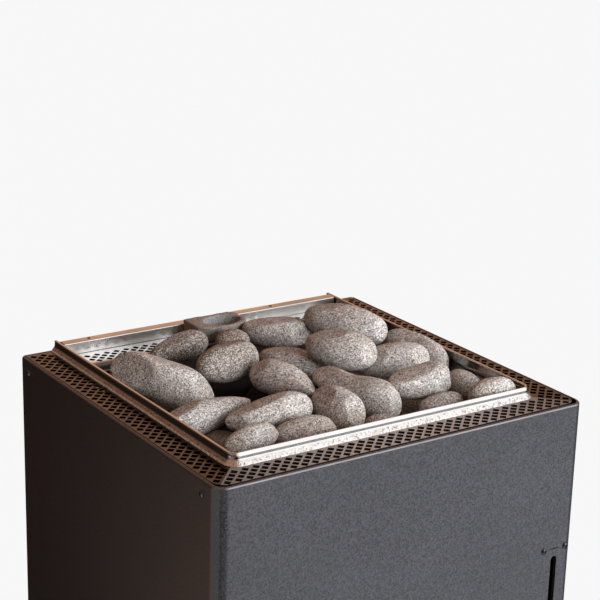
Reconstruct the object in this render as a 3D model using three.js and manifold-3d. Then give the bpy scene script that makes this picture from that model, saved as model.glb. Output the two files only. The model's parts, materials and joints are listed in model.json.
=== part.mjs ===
// Electric sauna heater with a charge of rounded stones and a built-in steamer.
// Millimetres, +Z up, front face toward -Y, origin on the floor under the middle.
import * as THREE from 'three';
import { mergeVertices } from 'three/addons/utils/BufferGeometryUtils.js';
import { ConvexGeometry } from 'three/addons/geometries/ConvexGeometry.js';
import Module from 'manifold-3d';

const wasm = await Module();
wasm.setup();

// ---- driving dimensions -------------------------------------------------------------
const WIDTH = 410;              // casing, side to side
const DEPTH = 382;              // casing, front to back
const TOP = 720;                // upper edge of the casing above the floor
const BOTTOM = 40;              // lower edge of the casing, air enters under it
const SHEET = 1.5;              // sheet metal thickness
const CORNER = 9;               // rounding of the upright front edges
const GAP = 0.3;                // clearance between touching pieces
const HALF_W = WIDTH / 2;
const HALF_D = DEPTH / 2;

const SLOT_PITCH = 11.15;       // air slots along each band
const SLOT_WIDTH = 5;
const SLOT_LENGTH = 28;         // one slot takes the place of four turned square holes
const SLOT_COUNT = 32;

const WELL_X = 162;             // stone well, half width inside
const WELL_FRONT = -146;
const WELL_BACK = 135;
const WELL_FLOOR = 392;

const COLLAR_X = 168.5;         // outer face of the collar's upright wall
const COLLAR_FRONT = -152;
const COLLAR_HEIGHT = 10.6;
const BAND_INNER_X = 165.5;
const BAND_INNER_Y = -148.5;

const SHELF_Z = TOP - 2;        // top of the perforated steamer lid
const SHELF_FRONT = 139.6;
const SHELF_BACK = 174;
const SHELF_X = 160;

const TUBE_R = 4.25;            // heating element tube
const ELEMENT_X = [-81, 0, 81];
const ELEMENT_LEGS = [-108, 92];
const ELEMENT_TOP = 655;
const TERMINAL_TOP = 300;

const SIGHT_X = 179.8;          // water level slot, on the right of the front
const SIGHT_TOP = TOP - 156;
const SIGHT_LENGTH = 200;
const SIGHT_WIDTH = 7.6;

const FOOT_X = 168;
const FOOT_Y = 160;

// ---- finishes -----------------------------------------------------------------------
function finish(color, roughness, metalness) {
  return new THREE.MeshStandardMaterial({ color, roughness, metalness });
}
const POWDER_COAT = finish(0x3a3634, 0.62, 0.2);
const BAND_COAT = finish(0x4a3a33, 0.55, 0.3);
const STAINLESS = finish(0xc9c6c2, 0.28, 1.0);
const DARK_STEEL = finish(0x4b4744, 0.5, 0.9);
const ELEMENT_STEEL = finish(0x6b675f, 0.45, 0.9);
const ZINC = finish(0xa9abad, 0.4, 0.9);
const BLACK_SCREW = finish(0x1d1c1c, 0.5, 0.6);
const STONE = finish(0x8b8580, 0.9, 0.0);
const SOAPSTONE = finish(0x6d6259, 0.85, 0.0);
const GLASS = finish(0xdfe8ea, 0.1, 0.0);
const FLOAT_RED = finish(0xb5352a, 0.45, 0.0);
const RUBBER = finish(0x202021, 0.9, 0.0);
const BLACK_PLASTIC = finish(0x1a1a1c, 0.55, 0.0);
const BRASS = finish(0xb08d4a, 0.35, 1.0);

const group = new THREE.Group();

function add(name, geometry, material) {
  const mesh = new THREE.Mesh(geometry, material);
  mesh.name = name;
  group.add(mesh);
  return geometry;
}

// ---- solid helpers ------------------------------------------------------------------
function toSolid(geometry) {
  const bare = new THREE.BufferGeometry();
  bare.setAttribute('position', geometry.attributes.position.clone());
  if (geometry.index) {
    bare.setIndex(geometry.index.clone());
  }
  const merged = mergeVertices(bare, 1e-4);
  const mesh = new wasm.Mesh({
    numProp: 3,
    vertProperties: new Float32Array(merged.attributes.position.array),
    triVerts: new Uint32Array(merged.index.array),
  });
  return new wasm.Manifold(mesh);
}

function toGeometry(solid) {
  const mesh = solid.getMesh();
  const geometry = new THREE.BufferGeometry();
  geometry.setAttribute('position', new THREE.BufferAttribute(mesh.vertProperties, 3));
  geometry.setIndex(new THREE.BufferAttribute(mesh.triVerts, 1));
  geometry.computeVertexNormals();
  return geometry;
}

function join(solids) {
  return solids.slice(1).reduce((sum, solid) => sum.add(solid), solids[0]);
}

function cut(solid, tools) {
  return tools.length ? solid.subtract(join(tools)) : solid;
}

function biggestBody(solid) {
  const bodies = solid.decompose();
  return bodies.reduce((best, body) => (body.volume() > best.volume() ? body : best));
}

// Box between two corners.
function box(x0, y0, z0, x1, y1, z1) {
  const geometry = new THREE.BoxGeometry(x1 - x0, y1 - y0, z1 - z0);
  geometry.translate((x0 + x1) / 2, (y0 + y1) / 2, (z0 + z1) / 2);
  return toSolid(geometry);
}

// Round bar between z0 and z1 round an upright axis.
function bar(x, y, radius, z0, z1, sides = 16) {
  const geometry = new THREE.CylinderGeometry(radius, radius, z1 - z0, sides);
  geometry.rotateX(Math.PI / 2);
  geometry.translate(x, y, (z0 + z1) / 2);
  return toSolid(geometry);
}

// Round bar lying along X.
function crossBar(x0, x1, y, z, radius, sides = 16) {
  const geometry = new THREE.CylinderGeometry(radius, radius, x1 - x0, sides);
  geometry.rotateZ(Math.PI / 2);
  geometry.translate((x0 + x1) / 2, y, z);
  return toSolid(geometry);
}

// Round bar lying along Y.
function depthBar(x, y0, y1, z, radius, sides = 16) {
  const geometry = new THREE.CylinderGeometry(radius, radius, y1 - y0, sides);
  geometry.translate(x, (y0 + y1) / 2, z);
  return toSolid(geometry);
}

// Prism over a plan outline.
function prism(outline, z0, z1) {
  const shape = new THREE.Shape(outline.map(([x, y]) => new THREE.Vector2(x, y)));
  const geometry = new THREE.ExtrudeGeometry(shape, { depth: z1 - z0, bevelEnabled: false });
  geometry.translate(0, 0, z0);
  return toSolid(geometry);
}

// Open outline of a U seen from above: back left, round the front, back right.
function uPath(halfWidth, front, back, radius, steps = 5) {
  const path = [[-halfWidth, back]];
  for (const side of [-1, 1]) {
    for (let i = 0; i <= steps; i += 1) {
      const turn = (Math.PI / 2) * (i / steps);
      const angle = side < 0 ? Math.PI + turn : 1.5 * Math.PI + turn;
      const centre = side * (halfWidth - radius);
      path.push([centre + radius * Math.cos(angle), front + radius + radius * Math.sin(angle)]);
    }
  }
  path.push([halfWidth, back]);
  return path;
}

// Sheet folded into a U: outer and inner outlines closed on each other.
function uWall(halfWidth, front, back, radius, thickness, z0, z1) {
  const outer = uPath(halfWidth, front, back, radius);
  const inner = uPath(halfWidth - thickness, front + thickness, back, radius - thickness);
  return prism([...outer, ...inner.reverse()], z0, z1);
}

// Path of straight runs and rounded bends that is sampled only where it turns.
class BendPath extends THREE.Curve {
  constructor(stops) {
    super();
    this.stops = stops;
  }

  getPoint(t, target = new THREE.Vector3()) {
    const place = Math.min(Math.max(t, 0), 1) * (this.stops.length - 1);
    const index = Math.min(Math.floor(place), this.stops.length - 2);
    return target.lerpVectors(this.stops[index], this.stops[index + 1], place - index);
  }

  getUtoTmapping(u) {
    return u;
  }
}

// Tube following straight runs with rounded bends.
function bentTube(points, bend, radius, sides = 8, bendSteps = 4) {
  const corners = points.map((point) => new THREE.Vector3(...point));
  const stops = [corners[0]];
  for (let i = 1; i < corners.length - 1; i += 1) {
    const before = corners[i].clone().sub(corners[i - 1]).normalize();
    const after = corners[i + 1].clone().sub(corners[i]).normalize();
    const curve = new THREE.QuadraticBezierCurve3(
      corners[i].clone().addScaledVector(before, -bend),
      corners[i],
      corners[i].clone().addScaledVector(after, bend),
    );
    stops.push(...curve.getPoints(bendSteps));
  }
  stops.push(corners[corners.length - 1]);
  const ring = [];
  for (let i = 0; i < sides; i += 1) {
    const angle = (2 * Math.PI * i) / sides;
    ring.push(new THREE.Vector2(radius * Math.cos(angle), radius * Math.sin(angle)));
  }
  return new THREE.ExtrudeGeometry(new THREE.Shape(ring), {
    steps: stops.length - 1,
    extrudePath: new BendPath(stops),
    bevelEnabled: false,
  });
}

// ---- casing -------------------------------------------------------------------------
const SCREW_HOLE_R = 1.9;
const SIDE_SCREW_Z = TOP - 13.5;
const SIDE_SCREW_Y = [-165, 176];
const SIGHT_SCREW_Z = TOP - 148;
const SIGHT_SCREW_X = [SIGHT_X - 13.5, SIGHT_X + 13.5];
const RETURN = 15;

function casingWrap() {
  const wall = uWall(HALF_W, -HALF_D, HALF_D, CORNER, SHEET, BOTTOM, TOP);
  const returns = [-1, 1].map((side) => {
    const outer = side * HALF_W;
    const inner = side * (HALF_W - RETURN);
    const low = Math.min(outer, inner);
    const high = Math.max(outer, inner);
    return box(low, HALF_D - SHEET, BOTTOM, high, HALF_D, TOP - 3);
  });
  const sightHole = box(
    SIGHT_X - SIGHT_WIDTH / 2, -HALF_D - 1, SIGHT_TOP - SIGHT_LENGTH,
    SIGHT_X + SIGHT_WIDTH / 2, -HALF_D + SHEET + 1, SIGHT_TOP,
  );
  const holes = SIDE_SCREW_Y.flatMap((y) => [
    crossBar(-HALF_W - 1, -HALF_W + SHEET + 1, y, SIDE_SCREW_Z, SCREW_HOLE_R, 10),
    crossBar(HALF_W - SHEET - 1, HALF_W + 1, y, SIDE_SCREW_Z, SCREW_HOLE_R, 10),
  ]);
  const frontHoles = SIGHT_SCREW_X.map((x) => depthBar(
    x, -HALF_D - 1, -HALF_D + SHEET + 1, SIGHT_SCREW_Z, SCREW_HOLE_R, 10,
  ));
  return cut(join([wall, ...returns]), [sightHole, ...holes, ...frontHoles]);
}

add('casing_wrap', toGeometry(casingWrap()), POWDER_COAT);

const BACK_FACE = HALF_D + GAP;
function backPanel() {
  const plate = box(
    -HALF_W + 3, BACK_FACE, BOTTOM, HALF_W - 3, BACK_FACE + SHEET, TOP,
  );
  const half = BAND_INNER_X - GAP;
  const fold = box(-half, 178, TOP - SHEET, half, BACK_FACE + SHEET, TOP);
  return join([plate, fold]);
}
add('back_panel', toGeometry(backPanel()), POWDER_COAT);

// ---- perforated bands ---------------------------------------------------------------
// A slot turned 45 degrees in plan.
function slantedSlot(x, y, z0, z1) {
  const along = SLOT_LENGTH / 2 / Math.SQRT2;
  const across = SLOT_WIDTH / 2 / Math.SQRT2;
  return prism([
    [x - along - across, y - along + across],
    [x - along + across, y - along - across],
    [x + along + across, y + along - across],
    [x + along - across, y + along + across],
  ], z0, z1);
}

const BAND_OUT_X = HALF_W - SHEET - GAP;
const BAND_OUT_Y = -HALF_D + SHEET + GAP;
const BAND_LIP = 20;
const BAND_BACK = HALF_D - GAP;
const LIP_BACK = HALF_D - SHEET - GAP;
const MITRE = 0.3;
const BAND_SLOT_X = 188.5;
const BAND_SLOT_Y = -173.7;

function sideBand(side) {
  const r = CORNER - SHEET - GAP;
  const cornerCut = r * (1 - Math.SQRT1_2);
  const m = MITRE;
  const outline = [
    [BAND_INNER_X, BAND_BACK],
    [BAND_INNER_X, BAND_INNER_Y + m],
    [BAND_OUT_X - cornerCut, BAND_OUT_Y + cornerCut + m],
    [BAND_OUT_X, BAND_OUT_Y + r + m],
    [BAND_OUT_X, BAND_BACK],
  ].map(([x, y]) => [side * x, y]);
  const plate = prism(outline, TOP - SHEET, TOP);
  const lip = box(
    Math.min(side * BAND_OUT_X, side * (BAND_OUT_X - SHEET)), BAND_OUT_Y + r + m, TOP - BAND_LIP,
    Math.max(side * BAND_OUT_X, side * (BAND_OUT_X - SHEET)), LIP_BACK, TOP,
  );
  const slots = [];
  for (let i = 0; i < SLOT_COUNT - 2; i += 1) {
    const y = BAND_OUT_Y + 32 + i * SLOT_PITCH;
    slots.push(slantedSlot(side * BAND_SLOT_X, y, TOP - 10, TOP + 1));
  }
  const holes = SIDE_SCREW_Y.map((y) => crossBar(
    Math.min(side * (BAND_OUT_X - 4), side * (BAND_OUT_X + 4)),
    Math.max(side * (BAND_OUT_X - 4), side * (BAND_OUT_X + 4)),
    y, SIDE_SCREW_Z, SCREW_HOLE_R, 10,
  ));
  return cut(join([plate, lip]), [...slots, ...holes]);
}

function frontBand() {
  const r = CORNER - SHEET - GAP;
  const cornerCut = r * (1 - Math.SQRT1_2);
  const m = MITRE;
  const half = [
    [BAND_INNER_X - m, BAND_INNER_Y],
    [BAND_OUT_X - cornerCut - m, BAND_OUT_Y + cornerCut],
    [BAND_OUT_X - r - m, BAND_OUT_Y],
  ];
  const mirrored = half.map(([x, y]) => [-x, y]).reverse();
  const plate = prism([...mirrored, ...half], TOP - SHEET, TOP);
  const lip = box(
    -BAND_OUT_X + r + m, BAND_OUT_Y, TOP - BAND_LIP,
    BAND_OUT_X - r - m, BAND_OUT_Y + SHEET, TOP,
  );
  const slots = [];
  for (let i = 0; i < SLOT_COUNT; i += 1) {
    const x = (i - (SLOT_COUNT - 1) / 2) * SLOT_PITCH;
    slots.push(slantedSlot(x, BAND_SLOT_Y, TOP - 10, TOP + 1));
  }
  return cut(join([plate, lip]), slots);
}

add('top_band_left', toGeometry(sideBand(-1)), BAND_COAT);
add('top_band_front', toGeometry(frontBand()), BAND_COAT);
add('top_band_right', toGeometry(sideBand(1)), BAND_COAT);

// ---- stainless collar ---------------------------------------------------------------
const COLLAR_SHEET = 1.2;
const COLLAR_BASE = TOP + GAP;
const COLLAR_TOP = TOP + COLLAR_HEIGHT;
const HEM = 3;

function collarWrap() {
  const wall = uWall(
    COLLAR_X, COLLAR_FRONT, HALF_D, 5, COLLAR_SHEET, COLLAR_BASE, COLLAR_TOP,
  );
  const hem = uWall(COLLAR_X + 0.9, COLLAR_FRONT - 0.9, HALF_D, 5.9, HEM, COLLAR_TOP - 2, COLLAR_TOP);
  const sideFlange = uWall(
    COLLAR_X + 2.5, COLLAR_FRONT - 2.5, HALF_D, 6, 3.2, COLLAR_BASE, COLLAR_BASE + 1,
  );
  const frontFlange = box(
    -COLLAR_X - 1, COLLAR_FRONT - 7, COLLAR_BASE, COLLAR_X + 1, COLLAR_FRONT + 0.5, COLLAR_BASE + 1,
  );
  return join([wall, hem, sideFlange, frontFlange]);
}
add('collar_wrap', toGeometry(collarWrap()), STAINLESS);

const RAIL_FRONT = 175;
const RAIL_BACK = 186.5;
function backRail() {
  const x = COLLAR_X - COLLAR_SHEET - HEM + 0.9;
  const front = box(-x, RAIL_FRONT, SHELF_Z - 4, x, RAIL_FRONT + COLLAR_SHEET, COLLAR_TOP);
  const top = box(-x, RAIL_FRONT, COLLAR_TOP - COLLAR_SHEET, x, RAIL_BACK, COLLAR_TOP);
  const back = box(-x, RAIL_BACK - COLLAR_SHEET, COLLAR_BASE, x, RAIL_BACK, COLLAR_TOP);
  return join([front, top, back]);
}
add('collar_back_rail', toGeometry(backRail()), STAINLESS);

// ---- stone well ---------------------------------------------------------------------
const WELL_RIM = TOP - SHEET - GAP;
function stoneBasket() {
  const outer = box(
    -WELL_X - SHEET, WELL_FRONT - SHEET, WELL_FLOOR, WELL_X + SHEET, WELL_BACK + SHEET, WELL_RIM,
  );
  const rim = box(
    -WELL_X - 10, WELL_FRONT - 10, WELL_RIM - SHEET, WELL_X + 10, WELL_BACK + SHEET, WELL_RIM,
  );
  const space = box(
    -WELL_X, WELL_FRONT, WELL_FLOOR - 1, WELL_X, WELL_BACK, WELL_RIM + 1,
  );
  return cut(join([outer, rim]), [space]);
}
add('stone_basket', toGeometry(stoneBasket()), DARK_STEEL);

const GRATE_BAR = 3;
const GRATE_PITCH = 27;
const LEDGE_TOP = WELL_FLOOR - GAP;
function stoneGrate() {
  const low = WELL_FLOOR + GAP;
  const bars = [];
  for (let i = -5.5; i <= 5.5; i += 1) {
    const x = i * GRATE_PITCH;
    bars.push(box(
      x - GRATE_BAR, WELL_FRONT + 1, low, x + GRATE_BAR, WELL_BACK - 1, low + 2 * GRATE_BAR,
    ));
  }
  const ties = [-136, 124].map((y) => box(
    -WELL_X + 1, y - 3, low, WELL_X - 1, y + 3, low + GRATE_BAR,
  ));
  return join([...bars, ...ties]);
}
add('stone_grate', toGeometry(stoneGrate()), DARK_STEEL);

const FRAME_X = WELL_X + SHEET;
function innerFrame() {
  const ledge = cut(
    box(-FRAME_X, WELL_FRONT - SHEET, LEDGE_TOP - 3, FRAME_X, WELL_BACK + SHEET, LEDGE_TOP),
    [box(-FRAME_X + 8, WELL_FRONT + 7, LEDGE_TOP - 5, FRAME_X - 8, WELL_BACK - 7, LEDGE_TOP + 2)],
  );
  const pieces = [ledge];
  for (const side of [-1, 1]) {
    for (const [y, inward] of [[WELL_FRONT - SHEET, 1], [WELL_BACK + SHEET, -1]]) {
      const x = side * FRAME_X;
      const legX = [x, x - side * 2];
      const flangeX = [x, x - side * 20];
      const y2 = y + inward * 20;
      const y3 = y + inward * 2;
      const foot = BOTTOM + 2 + GAP;
      pieces.push(box(
        Math.min(...legX), Math.min(y, y2), foot,
        Math.max(...legX), Math.max(y, y2), LEDGE_TOP,
      ));
      pieces.push(box(
        Math.min(...flangeX), Math.min(y, y3), foot,
        Math.max(...flangeX), Math.max(y, y3), LEDGE_TOP,
      ));
    }
  }
  for (const y of [-128.5, 117.5]) {
    pieces.push(box(-FRAME_X, y - 1, 250, FRAME_X, y + 9, 262 - GAP));
  }
  return join(pieces);
}
add('inner_frame', toGeometry(innerFrame()), ZINC);

// ---- heating elements and terminals -------------------------------------------------
function elementPoints(x) {
  const [front, back] = ELEMENT_LEGS;
  const low = 470;
  return [
    [x, front, TERMINAL_TOP - 22],
    [x, front, ELEMENT_TOP],
    [x, -8 - 32, ELEMENT_TOP],
    [x, -8 - 32, low],
    [x, -8 + 32, low],
    [x, -8 + 32, ELEMENT_TOP],
    [x, back, ELEMENT_TOP],
    [x, back, TERMINAL_TOP - 22],
  ];
}
ELEMENT_X.forEach((x, i) => {
  add(`heating_element_${i + 1}`, bentTube(elementPoints(x), 24, TUBE_R), ELEMENT_STEEL);
});

const STEAM_LEG_X = -110;
const STEAM_Y = [149, 164];
const STEAM_Z = 372;
const STEAM_POINTS = [
  [STEAM_LEG_X, STEAM_Y[0], TERMINAL_TOP - 22],
  [STEAM_LEG_X, STEAM_Y[0], STEAM_Z],
  [84, STEAM_Y[0], STEAM_Z],
  [84, STEAM_Y[1], STEAM_Z],
  [STEAM_LEG_X, STEAM_Y[1], STEAM_Z],
  [STEAM_LEG_X, STEAM_Y[1], TERMINAL_TOP - 22],
];
add('steam_element', bentTube(STEAM_POINTS, 7.4, TUBE_R), ELEMENT_STEEL);

function terminalBox() {
  const shell = cut(
    box(-128, -127, 262, 92, 172, TERMINAL_TOP),
    [box(-128 + SHEET, -127 + SHEET, 261, 92 - SHEET, 172 - SHEET, TERMINAL_TOP - SHEET)],
  );
  const legHoles = ELEMENT_X.flatMap((x) => ELEMENT_LEGS.map((y) => bar(
    x, y, TUBE_R + 0.6, TERMINAL_TOP - 5, TERMINAL_TOP + 5, 10,
  )));
  const steamHoles = STEAM_Y.map((y) => bar(
    STEAM_LEG_X, y, TUBE_R + 0.6, TERMINAL_TOP - 5, TERMINAL_TOP + 5, 10,
  ));
  return cut(shell, [...legHoles, ...steamHoles]);
}
add('terminal_box', toGeometry(terminalBox()), ZINC);

// ---- base, feet, cable gland --------------------------------------------------------
const DRAIN_X = 104;
const DRAIN_Y = 157;
const GLAND_X = -60;
const GLAND_Y = 150;
const FOOT_SPOTS = [
  ['foot_front_left', -FOOT_X, -FOOT_Y],
  ['foot_front_right', FOOT_X, -FOOT_Y],
  ['foot_back_left', -FOOT_X, FOOT_Y],
  ['foot_back_right', FOOT_X, FOOT_Y],
];

function basePlate() {
  const r = CORNER - SHEET - GAP;
  const plate = prism(
    uPath(HALF_W - SHEET - GAP, -HALF_D + SHEET + GAP, HALF_D - SHEET - GAP, r), BOTTOM, BOTTOM + 2,
  );
  const bosses = FOOT_SPOTS.map(([, x, y]) => bar(x, y, 9, BOTTOM, BOTTOM + 12, 12));
  const studHoles = FOOT_SPOTS.map(([, x, y]) => bar(x, y, 4.3, BOTTOM - 1, BOTTOM + 13, 12));
  const vents = [];
  for (let i = -2; i <= 2; i += 1) {
    for (const y of [-60, 50]) {
      vents.push(box(i * 52 - 17, y - 40, BOTTOM - 1, i * 52 + 17, y + 40, BOTTOM + 3));
    }
  }
  const drain = bar(DRAIN_X, DRAIN_Y, 6.8, BOTTOM - 1, BOTTOM + 3);
  const gland = bar(GLAND_X, GLAND_Y, 8.4, BOTTOM - 1, BOTTOM + 3);
  return cut(join([plate, ...bosses]), [...studHoles, ...vents, drain, gland]);
}
add('base_plate', toGeometry(basePlate()), ZINC);

function lathe(profile, x, y, z, sides) {
  const points = profile.map(([r, h]) => new THREE.Vector2(r, h));
  const geometry = new THREE.LatheGeometry(points, sides);
  geometry.rotateX(Math.PI / 2);
  geometry.translate(x, y, z);
  return toGeometry(toSolid(geometry));
}

const FOOT_PROFILE = [
  [0, 0], [16, 0], [16, 6], [13, 8], [8, 8], [8, 13], [4, 13], [4, 62], [0, 62],
];
FOOT_SPOTS.forEach(([name, x, y]) => {
  add(name, lathe(FOOT_PROFILE, x, y, 0, 12), BLACK_PLASTIC);
});

const GLAND_PROFILE = [
  [5, -20], [9, -20], [12, -15], [12, -GAP], [8, -GAP],
  [8, 2 + GAP], [12, 2 + GAP], [12, 9], [5, 9], [5, -20],
];
add('cable_gland', lathe(GLAND_PROFILE, GLAND_X, GLAND_Y, BOTTOM, 12), BLACK_PLASTIC);

// ---- steamer ------------------------------------------------------------------------
const TANK = { x: 158, front: 141.2, back: 172.6, low: 340, high: SHELF_Z - SHEET - GAP };
const GAUGE_Z = 352;
function waterTank() {
  const shell = cut(
    box(-TANK.x, TANK.front, TANK.low, TANK.x, TANK.back, TANK.high),
    [box(
      -TANK.x + SHEET, TANK.front + SHEET, TANK.low + SHEET,
      TANK.x - SHEET, TANK.back - SHEET, TANK.high + 1,
    )],
  );
  const steamHoles = STEAM_Y.map((y) => bar(
    STEAM_LEG_X, y, TUBE_R + GAP, TANK.low - 1, TANK.low + 3,
  ));
  const drain = bar(DRAIN_X, DRAIN_Y, 4, TANK.low - 1, TANK.low + 3, 12);
  const gauge = crossBar(TANK.x - 3, TANK.x + 1, 157, GAUGE_Z, 3, 12);
  return cut(shell, [...steamHoles, drain, gauge]);
}
add('water_tank', toGeometry(waterTank()), STAINLESS);

function steamLid() {
  const plate = box(-SHELF_X, SHELF_FRONT, SHELF_Z - SHEET, SHELF_X, SHELF_BACK, SHELF_Z);
  const lip = box(-SHELF_X, SHELF_FRONT, SHELF_Z - 6, SHELF_X, SHELF_FRONT + 1.2, SHELF_Z);
  const slots = [];
  for (let i = -12; i <= 12; i += 1) {
    slots.push(slantedSlot(i * SLOT_PITCH, 157, SHELF_Z - 5, SHELF_Z + 1));
  }
  return cut(join([plate, lip]), slots);
}
add('steam_lid', toGeometry(steamLid()), STAINLESS);

// Carved cup: flat back, rounded front leaning outward, oval hollow.
const BOWL = { x: 1.5, back: 173.6, front: 131, half: 30.5, low: SHELF_Z + GAP, high: TOP + 16 };
function aromaBowl() {
  const middle = 150;
  const points = [];
  const levels = [
    [BOWL.low, 6.5, 1.5],
    [BOWL.low + 3, 4.5, 0.6],
    [BOWL.high - 1.5, 0.3, 0],
    [BOWL.high, 1.6, 0.8],
  ];
  for (const [z, frontInset, sideInset] of levels) {
    const half = BOWL.half - sideInset;
    points.push(new THREE.Vector3(BOWL.x - half, BOWL.back - sideInset, z));
    points.push(new THREE.Vector3(BOWL.x + half - 6, BOWL.back - sideInset, z));
    points.push(new THREE.Vector3(BOWL.x + half, BOWL.back - 5, z));
    for (let i = 0; i <= 12; i += 1) {
      const angle = Math.PI + (Math.PI * i) / 12;
      const reach = middle - BOWL.front - frontInset;
      const px = Math.sign(Math.cos(angle)) * Math.abs(Math.cos(angle)) ** 0.8;
      points.push(new THREE.Vector3(
        BOWL.x + half * px, middle + reach * Math.sin(angle), z,
      ));
    }
  }
  const block = toSolid(new ConvexGeometry(points));
  const hollow = new THREE.IcosahedronGeometry(1, 3);
  hollow.scale(22.5, 16.5, 13);
  hollow.translate(BOWL.x + 0.5, 152.5, BOWL.high + 0.5);
  return cut(block, [toSolid(hollow)]);
}
add('aroma_bowl', toGeometry(aromaBowl()), SOAPSTONE);

// ---- water gauge --------------------------------------------------------------------
const GAUGE_Y = -HALF_D + 10;
const GAUGE_LOW = 366;
const GAUGE_HIGH = 590;
const GAUGE_PATH = [
  [TANK.x + GAP, 157, GAUGE_Z],
  [SIGHT_X, 157, GAUGE_Z],
  [SIGHT_X, GAUGE_Y, GAUGE_Z],
  [SIGHT_X, GAUGE_Y, GAUGE_LOW - GAP],
];
add('gauge_pipe', bentTube(GAUGE_PATH, 10, 4), STAINLESS);

const GAUGE_TUBE_PROFILE = [
  [0, 0], [5.5, 0], [5.5, GAUGE_HIGH - GAUGE_LOW], [4.2, GAUGE_HIGH - GAUGE_LOW], [4.2, 2], [0, 2],
];
add('gauge_tube', lathe(GAUGE_TUBE_PROFILE, SIGHT_X, GAUGE_Y, GAUGE_LOW, 16), GLASS);

const FLOAT_PROFILE = [[0, 0], [2.6, 0], [3.6, 1.4], [3.6, 10.6], [2.6, 12], [0, 12]];
add('gauge_float', lathe(FLOAT_PROFILE, SIGHT_X, GAUGE_Y, GAUGE_LOW + 2 + GAP, 12), FLOAT_RED);

function gaugeBracket() {
  const front = -HALF_D + SHEET + GAP;
  const z = SIGHT_SCREW_Z;
  const plate = box(SIGHT_X - 17, front, z - 6, SIGHT_X + 16, front + SHEET, z + 14);
  const block = box(SIGHT_X - 9, front, z + 2, SIGHT_X + 9, GAUGE_Y + 9, z + 14);
  const seat = bar(SIGHT_X, GAUGE_Y, 5.8, z, z + 16);
  const holes = SIGHT_SCREW_X.map((x) => depthBar(x, front - 1, front + 3, z, SCREW_HOLE_R, 10));
  return cut(join([plate, block]), [seat, ...holes]);
}
add('gauge_bracket', toGeometry(gaugeBracket()), ZINC);

// ---- drain valve --------------------------------------------------------------------
const VALVE_Z = 20;
function drainValve() {
  const pipe = bar(DRAIN_X, DRAIN_Y, 6, VALVE_Z, TANK.low - GAP);
  const body = box(DRAIN_X - 9, DRAIN_Y - 9, VALVE_Z - 9, DRAIN_X + 22, DRAIN_Y + 9, VALVE_Z + 8);
  const spout = crossBar(DRAIN_X + 20, DRAIN_X + 36, DRAIN_Y, VALVE_Z, 6);
  const bore = crossBar(DRAIN_X, DRAIN_X + 40, DRAIN_Y, VALVE_Z, 4);
  const rise = bar(DRAIN_X, DRAIN_Y, 4, VALVE_Z, TANK.low + 1);
  const stem = bar(DRAIN_X + 16, DRAIN_Y, 3, VALVE_Z + 7, VALVE_Z + 10);
  return cut(join([pipe, body, spout, stem]), [bore, rise]);
}
add('drain_valve', toGeometry(drainValve()), BRASS);

function drainLever() {
  const z = VALVE_Z + 10 + GAP;
  const hub = bar(DRAIN_X + 16, DRAIN_Y, 6, z, z + 4);
  const arm = box(DRAIN_X + 12, DRAIN_Y - 40, z, DRAIN_X + 20, DRAIN_Y, z + 3);
  return join([hub, arm]);
}
add('drain_lever', toGeometry(drainLever()), FLOAT_RED);

// ---- screws -------------------------------------------------------------------------
const HEAD_PROFILE = [
  [0, -9], [1.5, -9], [1.5, GAP], [3.3, GAP], [3.3, 1.1], [2.3, 1.8], [0, 1.8],
];

function screw(name, x, y, z, outward) {
  const points = HEAD_PROFILE.map(([r, h]) => new THREE.Vector2(r, h));
  const geometry = new THREE.LatheGeometry(points, 12);
  const up = new THREE.Vector3(0, 1, 0);
  const turn = new THREE.Quaternion().setFromUnitVectors(up, new THREE.Vector3(...outward));
  geometry.applyQuaternion(turn);
  geometry.translate(x, y, z);
  add(name, toGeometry(toSolid(geometry)), BLACK_SCREW);
}

for (const [sideName, side] of [['left', -1], ['right', 1]]) {
  screw(`casing_screw_${sideName}_front`, side * HALF_W, SIDE_SCREW_Y[0], SIDE_SCREW_Z, [side, 0, 0]);
  screw(`casing_screw_${sideName}_back`, side * HALF_W, SIDE_SCREW_Y[1], SIDE_SCREW_Z, [side, 0, 0]);
}
screw('sight_screw_left', SIGHT_SCREW_X[0], -HALF_D, SIGHT_SCREW_Z, [0, -1, 0]);
screw('sight_screw_right', SIGHT_SCREW_X[1], -HALF_D, SIGHT_SCREW_Z, [0, -1, 0]);

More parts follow.
